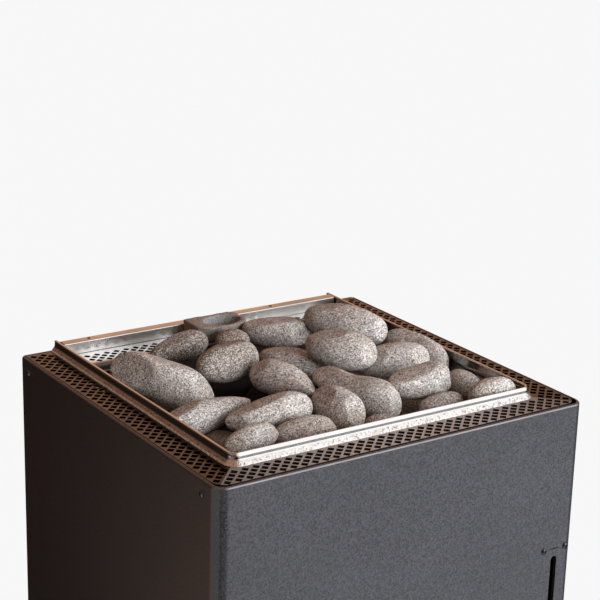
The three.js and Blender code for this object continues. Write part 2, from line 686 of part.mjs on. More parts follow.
// ---- stones -------------------------------------------------------------------------
// Name, centre in plan and height above the casing's edge, half lengths of the long, middle and
// short axes, then heading, nose-up pitch and roll in degrees. Wear: blunt: 0 egg to 1 brick;
// taper: + fatter at the leading end; waist: pinch round the middle; arch and bow: how far the
// ends are lifted or pushed sideways (mm).
const PILE = [
  ['high_back_right', [101, 62, 22], [47, 20, 18], [-55, -5, 50], { blunt: 0.5, taper: 0.06 }],
  ['high_middle', [52, -1, 22], [37, 20, 19], [-50, -5, 10], { blunt: 0.3, taper: 0.05 }],
  ['tall_back_left', [-47, 54, 9], [36, 20, 17], [5, 2, 55], { blunt: 0.4, taper: 0.1 }],
  ['long_left', [-119, 56, 0], [58, 22, 19], [-50, -16, 80], { blunt: 0.6, taper: 0.08, bow: -5 }],
  ['pointed_back', [-63, 123, 5], [34, 14, 13], [0, 8, 15], { blunt: 0.2, taper: 0.25 }],
  ['back_middle', [49, 111, 8], [38, 20, 16], [-35, 0, 0], { blunt: 0.5, arch: 2 }],
  ['beside_bowl', [-4, 114, 5], [18, 12, 12], [-25, 0, 0], { blunt: 0.1 }],
  ['slab_right', [106, -14, 4], [40, 18, 17], [-20, 5, 15], { blunt: 0.5, taper: 0.1 }],
  ['right_wall', [146, -1, 3], [42, 19, 11], [-75, -10, 75], { blunt: 0.3, taper: 0.1 }],
  ['centre_pointed', [21, 47, 0], [33, 15, 13], [-55, -1, 0], { blunt: 0.3, taper: 0.1 }],
  ['centre_fat_left', [-16, -1, 2], [37, 16, 15], [-65, -3, 40], { blunt: 0.2, taper: -0.3 }],
  ['waisted', [29, -59, 0], [53, 18, 16], [-70, -10, 50], { blunt: 0.4, taper: 0.14, waist: 0.14 }],
  ['block_right', [91, -79, 6], [36, 17, 16], [-10, 2, 30], { blunt: 0.6, taper: 0.16 }],
  ['egg_front', [-11, -87, 0], [30, 20, 15], [-75, -15, 65], { blunt: 0.3, taper: 0.12 }],
  ['long_front_left', [-75, -66, 0], [45, 16, 16], [-10, 5, 35], { blunt: 0.4, taper: 0.25 }],
  ['left_wall', [-116, -28, -5], [47, 15, 13], [0, 6, 20], { blunt: 0.3, taper: -0.5 }],
  ['front_corner_right', [137, -134, 4], [25, 14, 11], [-10, 5, 75], { blunt: 0.1 }],
  ['front_right', [95, -109, -9], [24, 12, 10], [-10, 8, 0], { blunt: 0.3 }],
  ['right_low', [148, -77, -9], [21, 14, 13], [-80, -5, 50], { blunt: 0.2 }],
  ['dome_front', [-59, -104, -9], [31, 15, 15], [-15, 5, 15], { blunt: 0.2 }],
  ['dome_front_left', [-115, -101, -5], [29, 13, 11], [5, 5, 55], { blunt: 0.2 }],
  ['front_low', [25, -109, -15], [17, 11, 9], [-30, 0, 0], { blunt: 0.1 }],
];

function stoneGeometry(spec, detail = 2, grow = 0) {
  const [, at, half, turn, wear] = spec;
  const { blunt = 0, taper = 0, waist = 0, arch = 0, bow = 0 } = wear;
  const geometry = new THREE.IcosahedronGeometry(1, detail);
  const position = geometry.attributes.position;
  const power = 1 - 0.28 * blunt;
  const shape = (value) => Math.sign(value) * Math.abs(value) ** power;
  const fill = 1 - 0.07 * blunt;
  for (let i = 0; i < position.count; i += 1) {
    const x = shape(position.getX(i)) * fill;
    const girth = (1 + taper * x) * (1 - waist * Math.exp(-4 * (x + 0.2) ** 2));
    const y = shape(position.getY(i)) * fill * girth;
    const z = shape(position.getZ(i)) * fill * girth;
    const bend = x * x - 0.4;
    position.setXYZ(
      i, x * (half[0] + grow), y * (half[1] + grow) + bow * bend, z * (half[2] + grow) + arch * bend,
    );
  }
  const rad = THREE.MathUtils.degToRad;
  geometry.applyQuaternion(new THREE.Quaternion().setFromEuler(
    new THREE.Euler(rad(turn[2]), rad(-turn[1]), rad(turn[0]), 'ZYX'),
  ));
  geometry.translate(at[0], at[1], TOP + at[2]);
  return geometry;
}

// Upper stones keep their shape; a stone under them is hollowed a little where it touches.
const placed = [];
for (const spec of PILE) {
  const own = toSolid(stoneGeometry(spec));
  const touching = placed.filter((other) => own.intersect(other.grown).volume() > 0);
  const solid = biggestBody(cut(own, touching.map((other) => other.grown)));
  placed.push({ grown: toSolid(stoneGeometry(spec, 2, GAP)), spec });
  add(`stone_${spec[0]}`, toGeometry(solid), STONE);
}

// Lower charge: stones bedded against each other, with a gap left for each element.
const COURSES = [
  { height: -40, thick: 21, deep: 4, detail: 1 },
  { height: -108, thick: 58, deep: 3, detail: 0 },
  { height: -230, thick: 82, deep: 3, detail: 0 },
];
const BAYS = [-121.5, -40.5, 40.5, 121.5];
const SEAT_GROW = 2.8;

function lowerStones() {
  const lumps = [];
  COURSES.forEach(({ height, thick, deep, detail }, course) => {
    const spanY = (WELL_BACK - WELL_FRONT - 6) / deep;
    BAYS.forEach((bay, i) => {
      for (let j = 0; j < deep; j += 1) {
        const wobble = Math.sin(5.3 * i + 3.1 * j + 2.2 * course);
        const y = WELL_FRONT + 3 + spanY * (j + 0.5);
        lumps.push(toSolid(stoneGeometry([
          'lump',
          [bay + 3 * wobble, y - 3 * wobble, height + 3 * wobble],
          [47, spanY / 2 + 7, thick],
          [12 * wobble, 4 * wobble, 0],
          { blunt: 0.3 },
        ], detail)));
      }
    });
  });
  const space = box(
    -WELL_X + 1, WELL_FRONT + 1, WELL_FLOOR + 2 * GRATE_BAR + 2 * GAP,
    WELL_X - 1, WELL_BACK - 1, TOP + 20,
  );
  const [front, back] = ELEMENT_LEGS;
  const gaps = ELEMENT_X.map((x) => box(
    x - TUBE_R - 1, front - 8, WELL_FLOOR, x + TUBE_R + 1, back + 8, ELEMENT_TOP + 6,
  ));
  const seats = placed.map(({ spec }) => toSolid(stoneGeometry(spec, 1, SEAT_GROW)));
  return biggestBody(cut(join(lumps).intersect(space), [...gaps, ...seats]));
}
add('lower_stones', toGeometry(lowerStones()), STONE);

export default group;
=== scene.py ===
"""Electric sauna heater filled with stones: the visual model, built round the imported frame."""

import json
import math

import bmesh
import bpy
import numpy as np
from mathutils import Matrix, Vector, geometry, noise

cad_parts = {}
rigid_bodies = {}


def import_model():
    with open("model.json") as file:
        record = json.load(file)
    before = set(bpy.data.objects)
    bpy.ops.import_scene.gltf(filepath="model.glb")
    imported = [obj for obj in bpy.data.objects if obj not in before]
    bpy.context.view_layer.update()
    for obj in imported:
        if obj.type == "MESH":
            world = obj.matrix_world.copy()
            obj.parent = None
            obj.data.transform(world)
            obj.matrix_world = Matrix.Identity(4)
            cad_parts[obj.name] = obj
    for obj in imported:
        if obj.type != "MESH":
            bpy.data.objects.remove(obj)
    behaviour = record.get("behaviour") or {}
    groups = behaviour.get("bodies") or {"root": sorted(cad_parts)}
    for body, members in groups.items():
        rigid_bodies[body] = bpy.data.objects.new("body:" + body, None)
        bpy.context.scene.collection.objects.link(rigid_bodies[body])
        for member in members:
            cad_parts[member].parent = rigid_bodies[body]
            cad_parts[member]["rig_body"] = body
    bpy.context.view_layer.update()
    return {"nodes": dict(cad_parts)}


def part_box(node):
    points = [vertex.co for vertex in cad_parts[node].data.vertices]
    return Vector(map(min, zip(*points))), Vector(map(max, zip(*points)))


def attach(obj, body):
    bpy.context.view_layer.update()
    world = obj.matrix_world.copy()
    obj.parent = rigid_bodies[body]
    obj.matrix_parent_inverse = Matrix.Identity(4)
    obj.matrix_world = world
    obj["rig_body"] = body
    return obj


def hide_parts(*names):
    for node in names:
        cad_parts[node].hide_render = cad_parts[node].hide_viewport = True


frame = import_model()
nodes = frame["nodes"]
scene = bpy.context.scene

MM = 0.001              # frame units are metres; lengths below are millimetres unless they say otherwise

# ---- camera, world and floor ----
CAMERA_AT = Vector((-0.8857, -1.3097, 1.3031))          # metres
CAMERA_RIGHT = Vector((0.8323, -0.5537, 0.0261))
CAMERA_UP = Vector((0.1470, 0.2658, 0.9527))
CAMERA_LENS = 102.83
PALE = 0.935            # backdrop and floor as the camera sees them


def linked(name, data):
    obj = bpy.data.objects.new(name, data)
    scene.collection.objects.link(obj)
    return obj


def make_camera():
    data = bpy.data.cameras.new("camera")
    data.sensor_width = 36
    data.lens = CAMERA_LENS
    data.clip_end = 100
    camera = linked("camera", data)
    right = CAMERA_RIGHT.normalized()
    back = right.cross(CAMERA_UP).normalized()
    up = back.cross(right)
    camera.matrix_world = Matrix((
        (right.x, up.x, back.x, CAMERA_AT.x),
        (right.y, up.y, back.y, CAMERA_AT.y),
        (right.z, up.z, back.z, CAMERA_AT.z),
        (0, 0, 0, 1),
    ))
    scene.camera = camera


class Tree:
    """Short hand for building a node tree."""

    def __init__(self, tree):
        self.tree = tree
        self.spot = None

    def node(self, kind, values=None, **settings):
        """A node with its settings, and plain values or links for its inputs."""
        made = self.tree.nodes.new(kind)
        for key, value in settings.items():
            setattr(made, key, value)
        for key, value in (values or {}).items():
            self.feed(made.inputs[key], value)
        return made

    def feed(self, socket, value):
        if isinstance(value, bpy.types.NodeSocket):
            self.tree.links.new(value, socket)
        elif isinstance(value, (tuple, list)) and len(value) == 3 and socket.type == "RGBA":
            socket.default_value = (*value, 1)
        else:
            socket.default_value = value

    def place(self):
        """Coordinates that stay with the object as it moves, in metres."""
        if self.spot is None:
            self.spot = self.node("ShaderNodeTexCoord").outputs["Object"]
        return self.spot

    def grain(self, scale, detail=2.0, rough=0.5, stretch=None, warp=0.0):
        place = self.place()
        if stretch:
            place = self.node("ShaderNodeMapping", {"Vector": place, "Scale": stretch}).outputs["Vector"]
        return self.node("ShaderNodeTexNoise", {
            "Vector": place, "Scale": scale, "Detail": detail, "Roughness": rough, "Distortion": warp,
        }).outputs["Fac"]

    def crystals(self, scale):
        """Three random values for each crystal."""
        cells = self.node("ShaderNodeTexVoronoi", {"Vector": self.place(), "Scale": scale}, feature="F1")
        return self.node("ShaderNodeSeparateColor", {0: cells.outputs["Color"]}).outputs

    def axes(self, vector=None):
        """X, Y and Z of a vector, or of the place on the object."""
        return self.node("ShaderNodeSeparateXYZ", {0: self.place() if vector is None else vector}).outputs

    def math(self, operation, a, b=0.0, c=0.0):
        return self.node("ShaderNodeMath", {0: a, 1: b, 2: c}, operation=operation).outputs[0]

    def heading(self, x, y):
        """Direction of (x, y) from +X toward +Y, as a share of a full turn."""
        turn = self.math("ARCTAN2", y, x)
        return self.math("FRACT", self.math("ADD", self.math("DIVIDE", turn, math.tau), 1.0))

    def ramp(self, factor, stops):
        made = self.node("ShaderNodeValToRGB", {"Fac": factor})
        elements = made.color_ramp.elements
        while len(elements) < len(stops):
            elements.new(0.5)
        for element, (spot, colour) in zip(elements, stops):
            element.position = spot
            value = colour if isinstance(colour, (tuple, list)) else (colour,) * 3
            element.color = (*value, 1)
        return made.outputs["Color"]

    def mix(self, factor, a, b, blend="MIX"):
        values = {"Factor": factor, "A": a, "B": b}
        return self.node("ShaderNodeMix", values, data_type="RGBA", blend_type=blend).outputs["Result"]

    def painted_shade_along(self, colour, axis, stops):
        """Painted shade: colour times a ramp along one axis, which runs from -0.2 m to +0.2 m."""
        along = self.math("MULTIPLY_ADD", self.axes()[axis], 2.5, 0.5)
        return self.mix(1.0, colour, self.ramp(along, stops), "MULTIPLY")

    def choose(self, factor, first, second):
        """The first shader where the factor is 0, the second where it is 1."""
        values = {0: factor, 1: first.outputs[0], 2: second.outputs[0]}
        return self.node("ShaderNodeMixShader", values)

    def bump(self, height, strength, distance, normal=None):
        values = {"Strength": strength, "Distance": distance, "Height": height}
        if normal is not None:
            values["Normal"] = normal
        return self.node("ShaderNodeBump", values).outputs["Normal"]


# Surroundings by compass direction round the heater: degrees from +X toward +Y, and colour.
SURROUNDINGS = [
    (0, (0.22, 0.15, 0.11)),
    (56, (0.66, 0.35, 0.21)),
    (92, (0.50, 0.27, 0.17)),
    (116, (0.060, 0.036, 0.026)),
    (140, (0.10, 0.064, 0.048)),
    (170, (0.19, 0.125, 0.105)),
    (205, (0.19, 0.14, 0.125)),
    (232, (0.10, 0.09, 0.09)),
    (258, (0.04, 0.04, 0.04)),
    (284, (0.10, 0.10, 0.11)),
    (300, (0.30, 0.30, 0.31)),
    (335, (0.30, 0.29, 0.28)),
    (360, (0.22, 0.15, 0.11)),
]
OVERHEAD = (0.345, 0.195, 0.128)
PANEL_TURN, PANEL_RISE = 310, 12        # middle of the large white diffuser, degrees
PANEL_LIGHT, PANEL_COLOUR = 1.4, (1.0, 0.985, 0.97)


def make_world():
    world = bpy.data.worlds.new("studio")
    scene.world = world
    world.use_nodes = True
    t = Tree(world.node_tree)
    world.node_tree.nodes.clear()
    direction = t.node("ShaderNodeTexCoord").outputs["Generated"]
    x, y, z = t.axes(direction)
    around = t.ramp(t.heading(x, y), [(angle / 360, colour) for angle, colour in SURROUNDINGS])
    height = t.ramp(z, [(0.0, 0.0), (0.35, 0.1), (0.75, 1.0)])
    colour = t.mix(height, around, OVERHEAD)
    turn, rise = math.radians(PANEL_TURN), math.radians(PANEL_RISE)
    middle = math.cos(turn) * math.cos(rise), math.sin(turn) * math.cos(rise), math.sin(rise)
    toward = t.node("ShaderNodeVectorMath", {0: direction, 1: middle}, operation="DOT_PRODUCT")
    panel = t.ramp(toward.outputs["Value"], [(0.62, 0.0), (0.80, 0.6), (0.93, 1.0)])
    colour = t.mix(panel, colour, tuple(c * PANEL_LIGHT for c in PANEL_COLOUR))
    soft = t.node("ShaderNodeBackground", {"Color": colour})
    plain = t.node("ShaderNodeBackground", {"Color": (PALE, PALE, PALE)})
    seen = t.node("ShaderNodeLightPath").outputs["Is Camera Ray"]
    t.node("ShaderNodeOutputWorld", {0: t.choose(seen, soft, plain).outputs[0]})


FLOOR_REACH = 60                        # metres
FLOOR_DULL = (0.12, 0.075, 0.055)       # what the floor sends back onto dull surfaces
FLOOR_FAR = (0.0095, 0.0045, 0.003)     # floor behind the heater, seen in reflections
CARD_GREY, CARD_WARM, CARD_WHITE = (0.25, 0.24, 0.24), (0.19, 0.13, 0.105), (0.27, 0.275, 0.30)
CARD_MIDDLE = (0.2, 0.19)               # metres left of and in front of the origin
CARD_LIGHT = 2.5


def make_floor():
    mesh = bpy.data.meshes.new("floor")
    corners = [(x * FLOOR_REACH, y * FLOOR_REACH, 0) for x, y in ((-1, -1), (1, -1), (1, 1), (-1, 1))]
    mesh.from_pydata(corners, [], [(0, 1, 2, 3)])
    floor = linked("floor", mesh)
    material = bpy.data.materials.new("pale_floor")
    material.use_nodes = True
    material.node_tree.nodes.clear()
    t = Tree(material.node_tree)
    # To the camera the floor glows evenly pale, darkened by a painted contact shadow where ambient occlusion
    # finds the heater near.
    shade = t.node("ShaderNodeAmbientOcclusion", {"Distance": 0.5}, samples=8)
    level = t.ramp(shade.outputs["AO"], [(0.0, 0.45 * PALE), (0.5, 0.86 * PALE), (0.95, PALE)])
    glow = t.node("ShaderNodeEmission", {"Color": level})
    dull = t.node("ShaderNodeBsdfDiffuse", {"Color": FLOOR_DULL})
    # What polished and coated parts mirror: a grey card left of the near corner, a white one right of it.
    x, y, _ = t.axes()
    turn = t.heading(t.math("ADD", x, CARD_MIDDLE[0]), t.math("ADD", y, CARD_MIDDLE[1]))
    card = t.ramp(turn, [
        (0.31, 0.0), (0.36, CARD_WARM), (0.42, CARD_GREY), (0.585, CARD_GREY), (0.607, 0.0),
        (0.745, 0.0), (0.80, CARD_WHITE), (0.93, CARD_WHITE), (0.97, 0.0),
    ])
    near = t.ramp(t.math("MULTIPLY", y, 0.2), [(0.18, 1.0), (0.46, 0.0)])
    shine = t.node("ShaderNodeEmission", {"Color": t.mix(near, FLOOR_FAR, card), "Strength": CARD_LIGHT})
    path = t.node("ShaderNodeLightPath").outputs
    lower = t.choose(path["Is Glossy Ray"], dull, shine)
    t.node("ShaderNodeOutputMaterial", {0: t.choose(path["Is Camera Ray"], lower, glow).outputs[0]})
    mesh.materials.append(material)


def softbox(name, at, aim, width, height, power, colour):
    """Area light in metres and watts, left out of reflections: the panel and cards stand in for it there."""
    data = bpy.data.lights.new(name, "AREA")
    data.shape = "RECTANGLE"
    data.size = width
    data.size_y = height
    data.energy = power
    data.color = colour
    light = linked(name, data)
    light.location = at
    light.rotation_euler = (Vector(aim) - Vector(at)).to_track_quat("-Z", "Y").to_euler()
    light.visible_camera = False
    light.visible_glossy = False


make_camera()
make_world()
make_floor()
softbox("key", (1.05, -2.50, 1.36), (0, 0, 0.72), 2.6, 1.3, 115, (0.975, 0.985, 1.0))
softbox("back_fill", (0.75, 2.3, 0.30), (0, 0, 0.34), 1.8, 0.4, 46, (1.0, 0.98, 0.96))
scene.view_settings.view_transform = "Standard"
scene.view_settings.look = "None"

# ---- materials ----


def start(name, metallic=0.0, specular=0.5):
    material = bpy.data.materials.new(name)
    material.use_nodes = True
    inputs = material.node_tree.nodes["Principled BSDF"].inputs
    inputs["Metallic"].default_value = metallic
    inputs["Specular IOR Level"].default_value = specular
    return material, Tree(material.node_tree), inputs


def surface(t, inputs, colour, roughness, normal=None):
    t.feed(inputs["Base Color"], colour)
    t.feed(inputs["Roughness"], roughness)
    if normal is not None:
        t.feed(inputs["Normal"], normal)


def coated(name, dark, light, roughness, bump=0.35, coat=0.0, painted_shade=None):
    """Powder coating: fine orange peel with a slight fleck. The last argument is the tone of painted shade left
    at both ends along X.
    """
    material, t, inputs = start(name)
    fleck = t.grain(620, 2.0, 0.5)
    cloud = t.grain(9, 2.0)
    base = t.mix(t.ramp(fleck, [(0.30, 0.0), (0.70, 1.0)]), dark, light)
    worn = t.mix(t.ramp(cloud, [(0.35, 0.0), (0.75, 0.22)]), base, tuple(c * 0.6 for c in dark))
    # painted shade, darker toward both ends along X
    if painted_shade:
        worn = t.painted_shade_along(worn, "X", [(0.0, painted_shade), (0.4, 1.0), (0.72, 1.0), (0.96, painted_shade)])
    spread = t.ramp(fleck, [(0.3, roughness - 0.06), (0.7, roughness + 0.08)])
    surface(t, inputs, worn, spread, t.bump(t.grain(680, 2.0, 0.5), bump, 0.0006))
    inputs["Coat Weight"].default_value = coat
    inputs["Coat Roughness"].default_value = 0.14
    return material


def metal(name, colour, roughness, brush=(1, 1, 1), bump=0.05, tint=None, painted_shade=None):
    """Metal with fine rolling marks and faint handling marks. The last argument is the tone of painted shade
    left at the front along Y.
    """
    material, t, inputs = start(name, metallic=1.0)
    marks = t.grain(260, 3.0, 0.6, stretch=brush)
    smear = t.grain(24, 3.0, 0.55, warp=0.6)
    tone = t.mix(t.ramp(smear, [(0.35, 0.0), (0.7, 1.0)]), colour, tint or tuple(c * 0.86 for c in colour))
    tone = t.mix(t.ramp(marks, [(0.3, 0.12), (0.6, 0.0)]), tone, tuple(c * 0.6 for c in colour))
    # painted shade, darker toward the front along Y
    if painted_shade:
        tone = t.painted_shade_along(tone, "Y", [(0.0, painted_shade), (0.55, 1.0)])
    spread = t.ramp(smear, [(0.3, roughness * 0.8), (0.75, roughness * 1.5)])
    surface(t, inputs, tone, spread, t.bump(marks, bump, 0.0002))
    return material


def blasted(name, pale, deep):
    """Bead-blasted, slightly crumpled sheet edge: pale metal pitted with dark dimples."""
    material, t, inputs = start(name, metallic=1.0)
    pits = t.grain(430, 3.0, 0.7)
    folds = t.grain(170, 2.0, 0.5)
    colour = t.mix(t.ramp(pits, [(0.54, 0.0), (0.65, 1.0)]), pale, deep)
    spread = t.ramp(pits, [(0.35, 0.18), (0.65, 0.45)])
    surface(t, inputs, colour, spread, t.bump(pits, 0.8, 0.0007, t.bump(folds, 0.5, 0.0010)))
    return material


def plastic(name, colour, roughness):
    """Moulded plastic: cloudy tone and fine pits."""
    material, t, inputs = start(name)
    pits = t.grain(900, 2.0)
    cloud = t.ramp(t.grain(30, 3.0), [(0.3, 0.0), (0.7, 1.0)])
    tone = t.mix(cloud, colour, tuple(c * 0.75 for c in colour))
    spread = t.ramp(pits, [(0.3, roughness * 0.85), (0.7, roughness * 1.15)])
    surface(t, inputs, tone, spread, t.bump(pits, 0.2, 0.0002))
    return material


def stone_material(name, dark, middle, light, warm, shaded=False):
    """Tumbled rock of interlocking crystals a millimetre or so across; shaded darkens it with depth."""
    material, t, inputs = start(name, specular=0.3)
    cell, small = t.crystals(980), t.crystals(1700)
    coarse = t.math("MULTIPLY_ADD", cell[0], 0.66, t.math("MULTIPLY", small[0], 0.34))
    rock = t.ramp(coarse, [(0.18, dark), (0.36, middle), (0.58, middle), (0.80, light)])
    speck = t.ramp(t.grain(900, 2.0, 0.6), [(0.60, 0.0), (0.68, 1.0)])
    rock = t.mix(t.math("MULTIPLY", speck, 0.6), rock, tuple(c * 0.4 for c in dark))
    patch = t.ramp(t.grain(22, 3.0, 0.55), [(0.38, 0.0), (0.72, 0.6)])
    rock = t.mix(patch, rock, t.mix(1.0, rock, warm, "MULTIPLY"))
    if shaded:
        rock = t.mix(1.0, rock, t.ramp(t.axes()["Z"], [(0.660, 0.03), (0.700, 1.0)]), "MULTIPLY")
    pits = t.math("ADD", t.grain(850, 3.0, 0.6), t.math("MULTIPLY", cell[1], 0.35))
    swell = t.bump(t.grain(120, 2.0), 0.2, 0.0012)
    surface(t, inputs, rock, t.ramp(small[1], [(0.1, 0.62), (0.9, 0.92)]), t.bump(pits, 0.5, 0.0006, swell))
    return material


def carved_stone(name, colour, second, roughness):
    """Soapstone: clouds of two tones with fine dark grains."""
    material, t, inputs = start(name, specular=0.4)
    cloud = t.grain(70, 5.0, 0.6, warp=1.2)
    fine = t.grain(900, 3.0, 0.6)
    base = t.mix(t.ramp(cloud, [(0.3, 0.0), (0.7, 1.0)]), colour, second)
    base = t.mix(t.ramp(fine, [(0.47, 0.0), (0.60, 0.85)]), base, tuple(c * 0.35 for c in colour))
    spread = t.ramp(fine, [(0.3, roughness - 0.1), (0.7, roughness + 0.1)])
    surface(t, inputs, base, spread, t.bump(fine, 0.35, 0.0004))
    return material


def glass(name):
    """Clear tube with a faint tint and film."""
    material, t, inputs = start(name)
    inputs["Transmission Weight"].default_value = 1.0
    inputs["IOR"].default_value = 1.47
    tint = t.ramp(t.grain(60, 2.0), [(0.3, (0.90, 0.95, 0.94)), (0.7, (0.97, 0.99, 0.98))])
    surface(t, inputs, tint, t.ramp(t.grain(200, 2.0), [(0.3, 0.03), (0.8, 0.12)]))
    return material


BODY = coated("body_coat", (0.0135, 0.014, 0.016), (0.070, 0.072, 0.0815), 0.46, bump=0.45, coat=0.8)
# Side bands: darker toward the front as painted shade.
BAND = metal("band_coat_fine", (0.180, 0.166, 0.160), 0.17, bump=0.04, painted_shade=0.62)
# Near-black coat as painted shade on the casing's inward faces and the front band's hole walls, underside and
# lip.
INSIDE_SHADE = coated("inside_painted_shade", (0.012, 0.010, 0.010), (0.022, 0.019, 0.018), 0.70)
# A much lighter copy of the band coat for the front band: painted light where the key falls on it, with painted
# shade at both ends.
BAND_FRONT_LIT = coated(
    "band_coat_front_painted_light", (0.33, 0.295, 0.28), (0.48, 0.445, 0.43), 0.34, bump=0.1, painted_shade=0.45,
)
STEEL = metal("bright_steel", (0.78, 0.775, 0.77), 0.15)
# Brighter metal on the outer roll of the casing's hem: a painted highlight line along its top edge.
HEM_HIGHLIGHT = metal("hem_painted_highlight", (0.36, 0.36, 0.39), 0.24)
RAIL_STEEL = metal("satin_steel", (0.93, 0.93, 0.93), 0.32)
STEEL_ROUGH = blasted("blasted_steel", (0.91, 0.905, 0.90), (0.34, 0.33, 0.33))
# A darker copy of the blasted steel: painted shade on the collar's side foot.
STEEL_SHADED = blasted("blasted_steel_painted_shade", (0.52, 0.50, 0.49), (0.13, 0.12, 0.12))
LINER = metal("liner_steel", (0.42, 0.40, 0.38), 0.34, brush=(1, 1, 6))
# Dark sheet for the grate, rivets and sight-slot lining; also painted shade in the collar's groove and on the
# lid's roll and hole edges.
DARK_SHEET_AND_SHADE = metal("dark_sheet_and_painted_shade", (0.16, 0.145, 0.135), 0.48)
HEATER = metal("element_sheath", (0.20, 0.175, 0.15), 0.42, tint=(0.11, 0.10, 0.12))
ZINCED = metal("zinc_sheet", (0.50, 0.51, 0.52), 0.42, tint=(0.40, 0.42, 0.44), bump=0.1)
GOLDEN = metal("brass_cast", (0.62, 0.46, 0.22), 0.34)
SCREW = metal("screw_blackened", (0.15, 0.15, 0.16), 0.16, bump=0.02)
MOULDED = plastic("moulded_black", (0.020, 0.020, 0.022), 0.55)
RED = plastic("red_plastic", (0.50, 0.045, 0.03), 0.42)
MARK = plastic("tick_black", (0.014, 0.014, 0.015), 0.7)
TUBE = glass("gauge_tube_glass")
ROCK = stone_material(
    "tumbled_rock", (0.07, 0.068, 0.067), (0.42, 0.405, 0.395), (0.84, 0.825, 0.81), (0.90, 0.79, 0.70),
)
ROCK_BELOW = stone_material(
    "shaded_rock", (0.05, 0.045, 0.04), (0.20, 0.175, 0.155), (0.42, 0.39, 0.36), (0.86, 0.74, 0.64), True,
)
ROCK_DARK = stone_material(
    "tumbled_rock_dark", (0.045, 0.04, 0.038), (0.235, 0.218, 0.205), (0.70, 0.66, 0.62), (0.80, 0.66, 0.56),
)
SOAP = carved_stone("soapstone_sawn", (0.31, 0.265, 0.24), (0.42, 0.365, 0.335), 0.75)
# The hollow's soapstone: smoother than the sawn outside, and tinted cooler grey as a painted reflection of the
# white light.
SOAP_CUP = carved_stone("soapstone_smoothed_painted_reflection", (0.26, 0.262, 0.27), (0.36, 0.362, 0.37), 0.6)

# ---- mesh building ----


def spokes_round(axis, sides):
    """An axis as a unit vector, and evenly spread directions square to it."""
    axis = Vector(axis).normalized()
    side = axis.orthogonal().normalized()
    other = axis.cross(side)
    angles = [math.tau * i / sides for i in range(sides)]
    return axis, [side * math.cos(angle) + other * math.sin(angle) for angle in angles]


